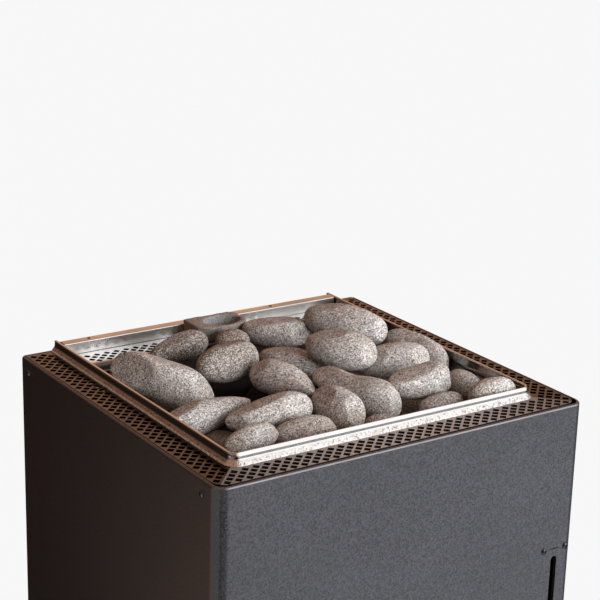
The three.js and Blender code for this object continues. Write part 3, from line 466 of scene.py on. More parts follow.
class Shape:
    """Collects closed shells, in millimetres."""

    def __init__(self):
        self.verts = []
        self.faces = []
        self.paint = []

    def shell(self, verts, faces, paint=0):
        base = len(self.verts)
        self.verts += [tuple(v) for v in verts]
        self.faces += [tuple(base + i for i in face) for face in faces]
        self.paint += [paint] * len(faces)
        return self

    def box(self, low, high):
        corners = [(x, y, z) for z in (low[2], high[2]) for y in (low[1], high[1]) for x in (low[0], high[0])]
        return self.shell(corners, [
            (0, 2, 3, 1), (4, 5, 7, 6), (0, 1, 5, 4), (2, 6, 7, 3), (0, 4, 6, 2), (1, 3, 7, 5),
        ])

    def loft(self, rings, hoop=False):
        """Rings of equal length joined one to the next, with end faces or joined up as a hoop."""
        count = len(rings[0])
        faces = []
        for k in range(len(rings) if hoop else len(rings) - 1):
            n = (k + 1) % len(rings)
            for i in range(count):
                j = (i + 1) % count
                faces.append((k * count + i, k * count + j, n * count + j, n * count + i))
        if not hoop:
            faces.append(tuple(reversed(range(count))))
            faces.append(tuple((len(rings) - 1) * count + i for i in range(count)))
        return self.shell([v for ring in rings for v in ring], faces)

    def sweep(self, path, profile):
        """Profile of (inward offset, z) carried along a path of (x, y, outward x, outward y)."""
        rings = []
        for x, y, nx, ny in path:
            points = profile(x, y, nx, ny) if callable(profile) else profile
            rings.append([(x - nx * d, y - ny * d, z) for d, z in points])
        return self.loft(rings)

    def lathe(self, profile, at, axis=(0, 0, 1), sides=40):
        """Profile of (radius, height) turned round an axis; both ends lie on the axis."""
        axis, spokes = spokes_round(axis, sides)
        at = Vector(at)
        inner = profile[1:-1]
        verts = [at + axis * profile[0][1]]
        verts += [at + axis * height + spoke * radius for radius, height in inner for spoke in spokes]
        verts.append(at + axis * profile[-1][1])
        last, top = len(verts) - 1, 1 + (len(inner) - 1) * sides
        faces = []
        for i in range(sides):
            j = (i + 1) % sides
            faces.append((0, 1 + j, 1 + i))
            for k in range(len(inner) - 1):
                a, b = 1 + k * sides, 1 + (k + 1) * sides
                faces.append((a + i, a + j, b + j, b + i))
            faces.append((last, top + i, top + j))
        return self.shell(verts, faces)

    def ring_lathe(self, profile, at, axis=(0, 0, 1), sides=40):
        """Closed profile of (radius, height) turned round an axis that it does not touch."""
        axis, spokes = spokes_round(axis, sides)
        return self.loft([[Vector(at) + axis * h + spoke * r for r, h in profile] for spoke in spokes], True)

    def tube(self, points, bend, radius, sides=18, steps=8):
        """Round bar along straight runs with rounded bends."""
        corners = [Vector(p) for p in points]
        stops = [corners[0]]
        for before, here, after in zip(corners, corners[1:], corners[2:]):
            a = here + (before - here).normalized() * bend
            b = here + (after - here).normalized() * bend
            for i in range(steps + 1):
                t = i / steps
                stops.append(a * (1 - t) ** 2 + here * 2 * t * (1 - t) + b * t ** 2)
        stops.append(corners[-1])
        aim = (stops[1] - stops[0]).normalized()
        side = aim.orthogonal().normalized()
        rings = []
        for i, stop in enumerate(stops):
            ahead = stops[min(i + 1, len(stops) - 1)] - stops[max(i - 1, 0)]
            aim = ahead.normalized()
            side = (side - aim * side.dot(aim)).normalized()
            other = aim.cross(side)
            rings.append([
                stop + (side * math.cos(math.tau * k / sides) + other * math.sin(math.tau * k / sides)) * radius
                for k in range(sides)
            ])
        return self.loft(rings)

    def plate(self, outline, holes, z0, z1):
        """Flat sheet over a convex outline with diamond holes: (x, y, half diagonal)."""
        points, edges = [], []
        for ring in [outline] + [[(x + r, y), (x, y + r), (x - r, y), (x, y - r)] for x, y, r in holes]:
            first = len(points)
            points += [Vector(p) for p in ring]
            edges += [(first + i, first + (i + 1) % len(ring)) for i in range(len(ring))]
        spots, _, triangles, *_ = geometry.delaunay_2d_cdt(points, edges, [], 0, 1e-6)
        flat = np.array([tuple(p) for p in spots])
        middle = flat[np.array(triangles)].mean(axis=1)
        keep = np.ones(len(triangles), bool)
        if holes:
            spread = np.array(holes)
            gap = np.abs(middle[:, None, :] - spread[None, :, :2]).sum(axis=2) - spread[None, :, 2]
            keep = gap.min(axis=1) > 0
        kept = [tuple(tri) for tri, ok in zip(triangles, keep) if ok]
        count = len(flat)
        verts = [(x, y, z1) for x, y in flat] + [(x, y, z0) for x, y in flat]
        faces = kept + [tuple(count + i for i in reversed(tri)) for tri in kept]
        used = dict.fromkeys(edge for tri in kept for edge in zip(tri, tri[1:] + tri[:1]))
        faces += [(b, a, count + a, count + b) for a, b in used if (b, a) not in used]
        return self.shell(verts, faces)

    def done(self, name, materials, body, slot, replaces=(), bevel=0.0, smooth=35.0):
        mesh = bpy.data.meshes.new(name)
        mesh.from_pydata([(x * MM, y * MM, z * MM) for x, y, z in self.verts], [], self.faces)
        for material in materials if isinstance(materials, list) else [materials]:
            mesh.materials.append(material)
        mesh.polygons.foreach_set("material_index", self.paint)
        bm = bmesh.new()
        bm.from_mesh(mesh)
        bmesh.ops.delete(bm, geom=[v for v in bm.verts if not v.link_faces], context="VERTS")
        bmesh.ops.recalc_face_normals(bm, faces=bm.faces)
        bm.to_mesh(mesh)
        bm.free()
        obj = linked(name, mesh)
        settle(obj, body, replaces)
        finish_edges(obj, bevel, smooth)
        return obj


def settle(obj, body, replaces=()):
    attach(obj, body)
    if replaces:
        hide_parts(*replaces)


def finish_edges(obj, bevel, smooth=35.0):
    obj.data.shade_smooth()
    obj.data.set_sharp_from_angle(angle=math.radians(smooth))
    edge_modifiers(obj, bevel, smooth)


def modify(obj, name, kind, **settings):
    modifier = obj.modifiers.new(name, kind)
    for key, value in settings.items():
        setattr(modifier, key, value)


def edge_modifiers(obj, bevel, smooth=35.0):
    """Rounds edges sharper than smooth degrees by bevel millimetres, and evens out the shading."""
    if bevel:
        limit = math.radians(smooth)
        modify(obj, "rounding", "BEVEL", width=bevel * MM, segments=2, limit_method="ANGLE", angle_limit=limit)
    modify(obj, "normals", "WEIGHTED_NORMAL", keep_sharp=not bevel, weight=100)


def baked(obj):
    """Applies the modifiers to the object's own mesh."""
    graph = bpy.context.evaluated_depsgraph_get()
    mesh = bpy.data.meshes.new_from_object(obj.evaluated_get(graph))
    obj.modifiers.clear()
    obj.data = mesh


def body_of(node):
    return nodes[node]["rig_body"]


def mm_box(node):
    low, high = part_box(node)
    return low / MM, high / MM


def middle_of(node):
    low, high = mm_box(node)
    return (low + high) / 2


def u_path(half, front, back, radius, steps=10):
    """Plan of a U: back left, round the front, back right, as (x, y, outward x, outward y)."""
    path = [(-half, back, -1, 0)]
    for side in (-1, 1):
        angles = [90 * i / steps for i in range(steps + 1)]
        if side < 0:
            turns = [180 + a for a in angles]
        else:
            turns = [360 - a for a in reversed(angles)]
        for turn in turns:
            nx, ny = math.cos(math.radians(turn)), math.sin(math.radians(turn))
            path.append((side * (half - radius) + radius * nx, front + radius + radius * ny, nx, ny))
    path.append((half, back, 1, 0))
    return path


def arc(cx, cy, radius, start, end, steps):
    """Points on a circle, from start to end in degrees."""
    return [
        (cx + radius * math.cos(math.radians(start + (end - start) * i / steps)),
         cy + radius * math.sin(math.radians(start + (end - start) * i / steps)))
        for i in range(steps + 1)
    ]


# ---- main sizes, read back from the frame ----
case_low, case_high = mm_box("casing_wrap")
HALF_W, FRONT, BACK = case_high.x, case_low.y, case_high.y
TOP, BOTTOM = case_high.z, case_low.z
SHEET = 1.5
CORNER = 12.5           # rounding of the casing's upright front edges
HEM = 2.9               # folded upper edge of the casing, wall to wall
HEM_ROUND = 2.4
HEM_DEPTH = 9.0
RETURN = 15             # casing sheet folded inward at the back
SIGHT_TOP, SIGHT_BOTTOM, SIGHT_HALF = TOP - 156, TOP - 356, 3.8      # sight slot: ends and half width
LINING = ((1.45, 0.8), (3.8, 0.8), (3.8, 0.0), (1.45, 0.0))          # its folded edge: depth, outward

# ---- casing ----


def slot_ring(y, out=0.0):
    """Outline of the sight slot in the plane at y, moved outward."""
    x = middle_of("gauge_tube").x
    points = arc(x, SIGHT_TOP - SIGHT_HALF, SIGHT_HALF + out, 0, 180, 14)
    points += arc(x, SIGHT_BOTTOM + SIGHT_HALF, SIGHT_HALF + out, 180, 360, 14)
    return [(px, y, pz) for px, pz in points]


def make_casing():
    profile = [(0, BOTTOM), (0, TOP - HEM_ROUND)]
    profile += arc(HEM_ROUND, TOP - HEM_ROUND, HEM_ROUND, 180, 90, 7)[1:]
    profile += arc(HEM - 0.5, TOP - 0.5, 0.5, 90, 0, 3)
    profile += [(HEM, TOP - HEM_DEPTH), (SHEET, TOP - HEM_DEPTH), (SHEET, BOTTOM)]
    shape = Shape().sweep(u_path(HALF_W, FRONT, BACK, CORNER, 12), profile)
    for side in (-1, 1):
        low, high = sorted((side * (HALF_W - 0.02), side * (HALF_W - RETURN)))
        shape.box((low, BACK - SHEET, BOTTOM), (high, BACK, TOP - 3))
    case = shape.done("casing", [BODY, INSIDE_SHADE, HEM_HIGHLIGHT], "heater", "powder_coat", ["casing_wrap"])
    cutter = Shape().loft([slot_ring(FRONT - 5), slot_ring(FRONT + 5)])
    tool = cutter.done("slot_cutter", BODY, "heater", "powder_coat")
    case.modifiers.clear()
    modify(case, "slot", "BOOLEAN", operation="DIFFERENCE", solver="EXACT", object=tool)
    baked(case)
    bpy.data.objects.remove(tool)
    for face in case.data.polygons:
        c, n = face.center / MM, face.normal
        # inward faces in the near-black coat as painted shade
        if c.x * n.x + (c.y + 20) * n.y < -1 and c.z < TOP - 1:     # faces that look inward
            face.material_index = 1
        # painted highlight: the outer side of the hem's roll in brighter metal
        if c.z > TOP - HEM_ROUND and 0.12 < n.z < 0.80:             # outer side of the hem's roll
            face.material_index = 2
    finish_edges(case, 0)
    lining = Shape().loft([slot_ring(FRONT + depth, out) for depth, out in LINING], True)
    lining.done("slot_lining", DARK_SHEET_AND_SHADE, "heater", "dark_steel", smooth=30)


make_casing()

# ---- perforated bands ----
PITCH = 11.15
ROW = PITCH / 2
HOLE = 4.1              # half diagonal of a square hole
BAND_TOP = TOP - 0.35
SIDE_EDGE, FRONT_EDGE = 4.0, 6.1        # casing face to the band's outer edge
BAND_ROUND = 13.0
FRONT_ROW = -180.7
SIDE_ROW = 195.9
MITRE = 0.4
BAND_IN_X, BAND_IN_Y = 165.5, -148.5
BAND_LIP = TOP - 20     # lower edge of the bands' folded outer edge
ROWS = 4
FRONT_HOLES = 35        # in the front band's outermost row
SIDE_HOLES_FROM = -173.4
SIDE_HOLES_TO = (184, 178.5)            # in even and odd rows


def make_bands():
    edge_x, edge_y = HALF_W - SIDE_EDGE, FRONT + FRONT_EDGE
    cx, cy = edge_x - BAND_ROUND, edge_y + BAND_ROUND
    low = BAND_TOP - SHEET
    corner = arc(cx, cy, BAND_ROUND, -45, 0, 6)
    front_corner = arc(cx, cy, BAND_ROUND, -90, -45, 6)
    holes = []
    for j in range(ROWS):
        count = FRONT_HOLES - j
        holes += [((i - (count - 1) / 2) * PITCH, FRONT_ROW + ROW * j, HOLE) for i in range(count)]
    right_half = [(x - MITRE, y) for x, y in front_corner]
    outline = [(BAND_IN_X - MITRE, BAND_IN_Y)] + right_half[::-1]
    outline += [(-x, y) for x, y in right_half] + [(-BAND_IN_X + MITRE, BAND_IN_Y)]
    shape = Shape().plate(outline[::-1], holes, low, BAND_TOP)
    shape.box((-cx, edge_y, BAND_LIP), (cx, edge_y + SHEET, low + 0.2))
    band = shape.done("band_front", [BAND_FRONT_LIT, INSIDE_SHADE], "heater", "band_coat", ["top_band_front"], smooth=30)
    for face in band.data.polygons:
        # hole walls, underside and lip in the near-black coat as painted shade
        if face.normal.z < 0.5:
            face.material_index = 1
    for name, side in (("left", -1), ("right", 1)):
        holes = []
        for j in range(ROWS):
            y = SIDE_HOLES_FROM + ROW * j
            while y < SIDE_HOLES_TO[j % 2]:
                holes.append((side * (SIDE_ROW - ROW * j), y, HOLE))
                y += PITCH
        points = [(BAND_IN_X, BACK - 0.3), (BAND_IN_X, BAND_IN_Y + MITRE)]
        points += [(x, y + MITRE) for x, y in corner] + [(edge_x, BACK - 0.3)]
        outline = [(side * x, y) for x, y in points]
        shape = Shape().plate(outline, holes, low, BAND_TOP)
        lip = sorted((side * edge_x, side * (edge_x - SHEET)))
        shape.box((lip[0], cy, BAND_LIP), (lip[1], BACK - 2, low + 0.2))
        shape.done(f"band_{name}", BAND, "heater", "band_coat", [f"top_band_{name}"], smooth=30)


make_bands()

# ---- stainless collar ----
COLLAR_X, COLLAR_Y = 168.2, -152.0
COLLAR_R = 8.0
COLLAR_LOW = TOP + 0.3
COLLAR_TOP = TOP + 10.6
COLLAR_SHEET = 1.2
FLANGE_SIDE, FLANGE_FRONT = 5.0, 6.0    # reach of the foot outside the wall
COLLAR_STEP = 1.6                       # fine enough for the foot's uneven edge
COLLAR_LOOKS = [STEEL, STEEL_ROUGH, DARK_SHEET_AND_SHADE, STEEL_SHADED]
FOOT, GROOVE, SIDE_FOOT_TOP = 1, 2, 3   # places in that list


def collar_profile(x, y, nx, ny):
    """The sides are a groove with a near-flat foot; the front is a rolled hem over a splayed foot."""
    foot = FLANGE_SIDE * nx * nx + FLANGE_FRONT * ny * ny
    foot += 0.45 * noise.noise(Vector((x, y, 0)) / 2.6) + 0.35 * noise.noise(Vector((x, y, 9)) / 9)
    low = COLLAR_LOW
    side = [(-foot + 0.3, low - 0.6), (-foot, low - 0.5), (-foot + 0.9, low + 0.3)]
    front = [(-foot + 0.3, low - 0.6), (-foot, low - 0.5), (-foot + 0.4, low + 0.2)]
    for i in range(9):
        f = max(0, i - 2) / 6
        side.append((-foot + 0.3 + 0.4 * min(i, 2) + (foot - 2.5) * f, low + 0.5 + 0.12 * min(i, 2) + 3.0 * f))
        front.append((-foot + 0.4 + (foot - 2.7) * i / 8, low + 0.2 + 4.5 * i / 8))
    side += [(-0.9, low + 4.6), (-0.7, low + 6.2), (-0.6, low + 7.2), (-0.4, low + 8.2)]
    front += [(-2.2, low + 5.1), (-2.0, low + 6.7), (-1.2, low + 6.9), (-1.9, low + 7.2)]
    side += arc(-0.1, COLLAR_TOP - 0.8, 0.8, 222, 90, 9) + arc(1.3, COLLAR_TOP - 0.8, 0.8, 90, -42, 8)
    front += [(-1.9 + 1.5 * i / 8, low + 7.3 + 2.5 * i / 8) for i in range(8)]
    front += arc(0.2, COLLAR_TOP - 0.6, 0.6, 160, -42, 10)
    for section in side, front:
        section += [(COLLAR_SHEET, low + 6), (COLLAR_SHEET, low)]
    return [(a + (b - a) * ny * ny, c + (d - c) * ny * ny) for (a, c), (b, d) in zip(side, front)]


def make_collar():
    path = []
    plan = u_path(COLLAR_X, COLLAR_Y, BACK, COLLAR_R, 10)
    for (x0, y0, nx, ny), (x1, y1, *_) in zip(plan, plan[1:]):
        steps = max(1, round(math.hypot(x1 - x0, y1 - y0) / COLLAR_STEP))
        path += [(x0 + (x1 - x0) * i / steps, y0 + (y1 - y0) * i / steps, nx, ny) for i in range(steps)]
    path.append(plan[-1])
    shape = Shape().sweep(path, collar_profile)
    # Painted shade on the collar: the side wall over the groove in dark sheet, and the upper side foot in a
    # darker copy of the blasted steel.
    for i, face in enumerate(shape.faces):
        spots = [shape.verts[k] for k in face]
        outward = max(abs(v[0]) - COLLAR_X for v in spots), max(-v[1] + COLLAR_Y for v in spots)
        height = max(v[2] for v in spots) - COLLAR_LOW
        beside = outward[1] < -4
        if height < (1.0 if beside else 3.8) and max(outward) > 0.4:
            shape.paint[i] = FOOT
        elif height < 3.8 and max(outward) > 0.4:
            shape.paint[i] = SIDE_FOOT_TOP
        elif height < 8.5 and outward[0] > 0.2 and beside:
            shape.paint[i] = GROOVE
    shape.done("collar", COLLAR_LOOKS, "heater", "stainless", ["collar_wrap"], smooth=38)


make_collar()


RAIL_BEND = 1.6
RIVETS_X, RIVETS_Y = (-135.2, 85), 181
RIVET = [(0, 0.65), (0.8, 0.6), (1.4, 0.4), (1.8, 0), (1.8, -0.3), (0, -0.3)]      # radius, height


def make_back_rail():
    low, high = mm_box("collar_back_rail")
    t, bend = COLLAR_SHEET, RAIL_BEND
    section = [(low.y, low.z)]
    section += arc(low.y + bend, high.z - bend, bend, 180, 90, 6)
    section += arc(high.y - bend, high.z - bend, bend, 90, 0, 6)
    section += [(high.y, COLLAR_LOW), (high.y - t, COLLAR_LOW)]
    section += arc(high.y - bend, high.z - bend, bend - t, 0, 90, 4)
    section += arc(low.y + bend, high.z - bend, bend - t, 90, 180, 4)
    section += [(low.y + t, low.z)]
    shape = Shape().loft([[(x, y, z) for y, z in section] for x in (low.x, high.x)])
    sheet_faces = len(shape.faces)
    for x in RIVETS_X:
        shape.lathe(RIVET, (x, RIVETS_Y, high.z), sides=20)
    shape.paint = [0] * sheet_faces + [1] * (len(shape.faces) - sheet_faces)
    shape.done("back_rail", [RAIL_STEEL, DARK_SHEET_AND_SHADE], "heater", "stainless", ["collar_back_rail"], smooth=38)


make_back_rail()

# ---- stone well ----
WELL_X, WELL_FRONT = 162.0, -146.0
WELL_SHEET = 0.9
WELL_ROUND = 5
# How far the wall leans out at each height above or below the casing's edge, from its foot up.
WELL_FLARE = [(0, -26), (1.2, -8), (3.6, -1.2), (4.2, 1), (4.2, 7.0)]


def rounded_rectangle(x0, y0, x1, y1, radius, steps=5):
    points = arc(x1 - radius, y1 - radius, radius, 0, 90, steps)
    points += arc(x0 + radius, y1 - radius, radius, 90, 180, steps)
    points += arc(x0 + radius, y0 + radius, radius, 180, 270, steps)
    points += arc(x1 - radius, y0 + radius, radius, 270, 360, steps)
    return points


def make_well():
    low, high = mm_box("stone_basket")
    back = high.y - SHEET

    def ring(out, z, thickness):
        """One level of the wall; the back is cut lower, under the steamer's lid."""
        out, y_back = out + thickness, back + thickness
        plan = rounded_rectangle(-WELL_X - out, WELL_FRONT - out, WELL_X + out, y_back, WELL_ROUND + thickness)
        return [(x, y, min(z, TOP - 14 if y > back - 5.5 else TOP + 7)) for x, y in plan]

    levels = [(0, low.z)] + [(out, TOP + rise) for out, rise in WELL_FLARE]
    rings = [ring(out, z, 0) for out, z in levels] + [ring(out, z, WELL_SHEET) for out, z in reversed(levels)]
    shape = Shape().loft(rings, True)
    shape.done("well_liner", LINER, "heater", "dark_steel", ["stone_basket"], smooth=30)


make_well()


LID_ROWS = (163.5, 158.0, 152.5, 147.0)
LID_HOLES_FROM, LID_PITCH, LID_HOLE = -134.9, 11.1, 3.9
LID_SHEET, LID_ROLL = 1.2, 4.5


def make_lid():
    low, high = mm_box("steam_lid")
    bowl_low, bowl_high = mm_box("aroma_bowl")
    holes = []
    for j, y in enumerate(LID_ROWS):
        x = LID_HOLES_FROM - ROW * (2 - j % 2)
        while x < high.x - 18:
            if x > low.x + 12 and not (bowl_low.x + 8 < x < bowl_high.x - 8):
                holes.append((x, y, LID_HOLE))
            x += LID_PITCH
    fold_y, fold_z = low.y + LID_ROLL, high.z - LID_ROLL
    outline = [(low.x, fold_y), (high.x, fold_y), (high.x, high.y), (low.x, high.y)]
    shape = Shape().plate(outline, holes, high.z - LID_SHEET, high.z)
    section = arc(fold_y, fold_z, LID_ROLL, 90, 180, 10) + [(low.y, low.z), (low.y + LID_SHEET, low.z)]
    section += arc(fold_y, fold_z, LID_ROLL - LID_SHEET, 180, 90, 8)
    shape.loft([[(x, y, z) for y, z in section] for x in (low.x, high.x)])
    lid = shape.done("vented_lid", [STEEL, DARK_SHEET_AND_SHADE], body_of("steam_lid"), "stainless", ["steam_lid"], smooth=38)
    # painted shade: the front roll, hole edges and underside in dark sheet
    for face in lid.data.polygons:
        if face.normal.z < 0.80:            # the front roll, hole edges and underside
            face.material_index = 1


make_lid()

# ---- scent bowl ----
BOWL_MIDDLE = 150       # where its straight back half meets its round front half
CUP_ASIDE, CUP_Y = 4.4, 152.0           # middle of the hollow
CUP_HALF_X, CUP_HALF_Y, CUP_DEPTH = 21.0, 15.2, 14.0
BOWL_SIDES = 128


def ray_hit(outline, cx, cy, angle):
    """Distance from the middle to a closed outline."""
    dx, dy = math.cos(angle), math.sin(angle)
    best = 0
    for (x0, y0), (x1, y1) in zip(outline, outline[1:] + outline[:1]):
        ex, ey = x1 - x0, y1 - y0
        cross = dx * ey - dy * ex
        if abs(cross) < 1e-9:
            continue
        t = ((x0 - cx) * ey - (y0 - cy) * ex) / cross
        s = ((x0 - cx) * dy - (y0 - cy) * dx) / cross
        if t > 0 and -1e-6 <= s <= 1 + 1e-6:
            best = max(best, t)
    return best


def bowl_outline(low, high, front_inset, side_inset):
    x = (low.x + high.x) / 2
    half = (high.x - low.x) / 2 - side_inset
    back = high.y - side_inset
    reach = BOWL_MIDDLE - low.y - front_inset
    points = [(x - half, back), (x - half, BOWL_MIDDLE)]
    for i in range(1, 32):
        angle = math.pi + math.pi * i / 32
        cos = math.cos(angle)
        points.append((x + half * math.copysign(abs(cos) ** 0.8, cos), BOWL_MIDDLE + reach * math.sin(angle)))
    return points + [(x + half, BOWL_MIDDLE), (x + half, back - 5), (x + half - 6, back)]


def make_bowl():
    low, high = mm_box("aroma_bowl")
    cx, cy = (low.x + high.x) / 2 + CUP_ASIDE, CUP_Y
    top = bowl_outline(low, high, 0.3, 0.2)
    foot = bowl_outline(low, high, 6.5, 1.5)
    angles = [math.tau * i / BOWL_SIDES for i in range(BOWL_SIDES)]
    upper = [ray_hit(top, cx, cy, a) for a in angles]
    lower = [ray_hit(foot, cx, cy, a) for a in angles]
    rings = []

    def ring(radii, z):
        rings.append([(cx + r * math.cos(a), cy + r * math.sin(a), z) for r, a in zip(radii, angles)])

    ring([r - 1.5 for r in lower], low.z)
    ring(lower, low.z + 1.0)
    for k in range(1, 9):
        f = k / 9
        ring([a + (b - a) * f ** 0.8 for a, b in zip(lower, upper)], low.z + 1 + (high.z - low.z - 2.2) * f)
    ring([r - 0.1 for r in upper], high.z - 1.2)
    ring([r - 0.5 for r in upper], high.z - 0.45)
    ring([r - 1.3 for r in upper], high.z)
    oval = [1 / math.hypot(math.cos(a) / CUP_HALF_X, math.sin(a) / CUP_HALF_Y) for a in angles]
    ring([o + (u - 1.3 - o) * 0.35 for o, u in zip(oval, upper)], high.z)
    ring([o + 0.7 for o in oval], high.z - 0.05)
    ring(oval, high.z - 0.6)
    outside = (len(rings) - 1) * BOWL_SIDES
    for k in range(1, 12):
        tilt = math.pi / 2 * k / 12
        ring([o * math.cos(tilt) ** 0.6 for o in oval], high.z - 0.6 - CUP_DEPTH * math.sin(tilt))
    uneven = [[Vector(v) + Vector((1, 1, 1)) * 0.35 * noise.noise(Vector(v) * 0.11) for v in r] for r in rings]
    shape = Shape().loft(uneven)
    hollow = len(shape.faces) - 2 - outside
    # the hollow takes the smoothed stone, its cooler grey a painted reflection
    shape.paint = [0] * outside + [1] * hollow + [0, 1]
    shape.done("scent_cup", [SOAP, SOAP_CUP], body_of("aroma_bowl"), "soapstone", ["aroma_bowl"], smooth=50)


make_bowl()

# ---- stones ----
# Flat sides worn on some stones: direction, and how much of the reach that way is left.
FACETS = {
    "stone_long_left": [((-0.85, -0.35, 0.40), 0.72), ((0.35, -0.75, 0.56), 0.83), ((0.30, 0.02, 0.95), 0.86)],
    "stone_tall_back_left": [((0.0, 0.2, 0.98), 0.86), ((0.3, -0.95, -0.1), 0.90)],
    "stone_block_right": [((-0.25, -0.05, 0.97), 0.66), ((0.25, -0.95, 0.1), 0.80), ((0.9, -0.3, 0.2), 0.88)],
    "stone_slab_right": [((-0.6, -0.2, 0.75), 0.78), ((0.3, -0.8, 0.5), 0.84)],
    "stone_back_middle": [((-0.1, 0.1, 1.0), 0.72), ((0.1, -1.0, 0.1), 0.80)],
    "stone_waisted": [((-0.5, 0.0, 0.85), 0.80), ((0.4, -0.8, 0.3), 0.90)],
    "stone_centre_fat_left": [((0.40, -0.50, 0.77), 0.76), ((-0.60, 0.20, 0.77), 0.84)],
    "stone_centre_pointed": [((-0.1, 0.1, 1.0), 0.82)],
    "stone_egg_front": [((0.0, -0.85, 0.5), 0.80), ((-0.7, 0.0, 0.7), 0.86)],
    "stone_long_front_left": [
        ((-0.25, 0.15, 0.95), 0.74), ((0.1, -0.75, 0.65), 0.86), ((-0.8, -0.5, 0.3), 0.88),
    ],
    "stone_left_wall": [((-0.3, 0.2, 0.93), 0.80), ((-0.2, -0.9, 0.3), 0.86)],
    "stone_pointed_back": [((-0.2, -0.1, 0.97), 0.84)],
    "stone_high_back_right": [((-0.2, 0.1, 0.97), 0.86), ((0.2, -0.9, 0.3), 0.90)],
    "stone_high_middle": [((-0.2, 0.1, 0.97), 0.80), ((0.2, -0.95, 0.2), 0.88)],
    "stone_dome_front": [((0.5, -0.6, 0.6), 0.86)],
    "stone_dome_front_left": [((0.5, -0.5, 0.7), 0.84), ((-0.6, -0.6, 0.5), 0.86)],
    "stone_front_corner_right": [((0.3, -0.7, 0.6), 0.86)],
    "stone_right_wall": [((-0.6, -0.2, 0.75), 0.86)],
}
# Swellings, by the name of the piece: middle, rise and spread.
BULGES = {
    "rock_waisted": [(48, -84, 738, 6, 16), (24, -50, 740, -2, 12)],
}


def worn(obj, voxel, rounds, grow, facets, seed, rough, sunk):
    """Rounds a faceted solid into a tumbled stone.

    voxel is its mesh's fineness, rounds the smoothing passes, grow what is given back for the smoothing,
    rough scales its uneven surface, and sunk lists hollows as x, y, depth and spread.
    """
    modify(obj, "remesh", "REMESH", mode="VOXEL", voxel_size=voxel * MM)
    modify(obj, "smoothing", "SMOOTH", factor=0.5, iterations=rounds)
    baked(obj)
    mesh = obj.data
    count = len(mesh.vertices)
    spots = np.zeros(count * 3, np.float32)
    mesh.vertices.foreach_get("co", spots)
    spots = spots.reshape(-1, 3).astype(float) / MM
    normals = np.zeros(count * 3, np.float32)
    mesh.vertex_normals.foreach_get("vector", normals)
    normals = normals.reshape(-1, 3).astype(float)
    spots += normals * grow
    middle = (spots.min(axis=0) + spots.max(axis=0)) / 2
    for direction, keep in facets:
        n = np.array(Vector(direction).normalized())
        reach = (spots - middle) @ n
        limit = reach.max() * keep
        over = np.maximum(reach - limit, 0)
        spots -= np.outer(over * 0.9, n)
    shift = Vector((seed * 17.3, seed * 9.1, seed * 5.7))
    push = np.empty(count)
    for i, spot in enumerate(spots):
        p = Vector(spot) + shift
        push[i] = 0.9 * noise.noise(p / 27) + 0.35 * noise.noise(p / 11) + 0.10 * noise.noise(p / 3.5)
    spots += normals * (push * rough)[:, None]
    for x, y, z, rise, spread in BULGES.get(obj.name, ()):
        near = np.exp(-((spots - (x, y, z)) ** 2).sum(axis=1) / (2 * spread ** 2))
        spots += normals * (near * rise)[:, None]
    for x, y, depth, spread in sunk:
        near = np.exp(-((spots[:, 0] - x) ** 2 + (spots[:, 1] - y) ** 2) / (2 * spread ** 2))
        spots[:, 2] -= near * depth * np.clip((spots[:, 2] - TOP + 60) / 40, 0, 1)
    mesh.vertices.foreach_set("co", (spots * MM).astype(np.float32).ravel())
    mesh.update()
    modify(obj, "after", "SMOOTH", factor=0.5, iterations=4 if facets else 1)
    baked(obj)
    obj.data.shade_smooth()


def make_stone(node, name, voxel, rounds, grow, facets, seed, rough=1.0, material=ROCK, sunk=()):
    mesh = nodes[node].data.copy()
    mesh.name = name
    mesh.materials.clear()
    bm = bmesh.new()
    bm.from_mesh(mesh)
    bmesh.ops.remove_doubles(bm, verts=bm.verts, dist=1e-5)
    bm.to_mesh(mesh)
    bm.free()
    obj = linked(name, mesh)
    worn(obj, voxel, rounds, grow, facets, seed, rough, sunk)
    obj.data.materials.append(material)
    settle(obj, body_of(node), [node])


STONES = sorted(n for n in nodes if n.startswith("stone_") and n not in ("stone_basket", "stone_grate"))
VOXEL, ROUNDS = ((1.6, 22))
DARK_STONES = ("stone_tall_back_left", "stone_pointed_back", "stone_beside_bowl")
# Places where the bed lies lower, or higher where the depth is negative: x, y, depth and spread.
DEEP_GAPS = [(-38, 58, 75, 36), (5, 98, 60, 34), (-95, 95, 30, 25), (-114, -50, -8, 16)]
for seed, node in enumerate(STONES):
    make_stone(
        node, node.replace("stone_", "rock_"), VOXEL, ROUNDS, 1.5, FACETS.get(node, ()), seed,
        material=ROCK_DARK if node in DARK_STONES else ROCK,
    )
make_stone("lower_stones", "rock_bed", 3.6, 6, -3.0, (), 40, 0.8, ROCK_BELOW, DEEP_GAPS)

# ---- screws and tick ----
# Socket screw as (radius, height): socket, domed head, shank.
SCREW_PROFILE = [
    (0, 0.9), (1.15, 1.05), (1.25, 1.78), (1.6, 1.7), (2.6, 1.1), (3.1, 0.55), (3.3, 0.1), (3.3, -0.1),
    (1.5, -0.1), (1.5, -9), (0, -9),
]


def make_screws():
    for node in sorted(nodes):
        if "casing_screw" in node:
            side, middle = -1 if "left" in node else 1, middle_of(node)
            at, axis = (side * (HALF_W + 0.1), middle.y, middle.z), (side, 0, 0)
        elif "sight_screw" in node:
            middle = middle_of(node)
            at, axis = (middle.x, FRONT - 0.1, middle.z), (0, -1, 0)
        else:
            continue
        Shape().lathe(SCREW_PROFILE, at, axis, 32).done(
            node.replace("screw", "bolt"), SCREW, "heater", "black_screw", [node], smooth=50,
        )
    x, z = middle_of("gauge_tube").x, middle_of("sight_screw_left").z
    tick = Shape().box((x - 5.0, FRONT - 0.2, z - 0.6), (x + 5.0, FRONT + 0.2, z + 0.6))
    tick.done("level_tick", MARK, "heater", "zinc", bevel=0.1)


make_screws()

# ---- inner parts ----


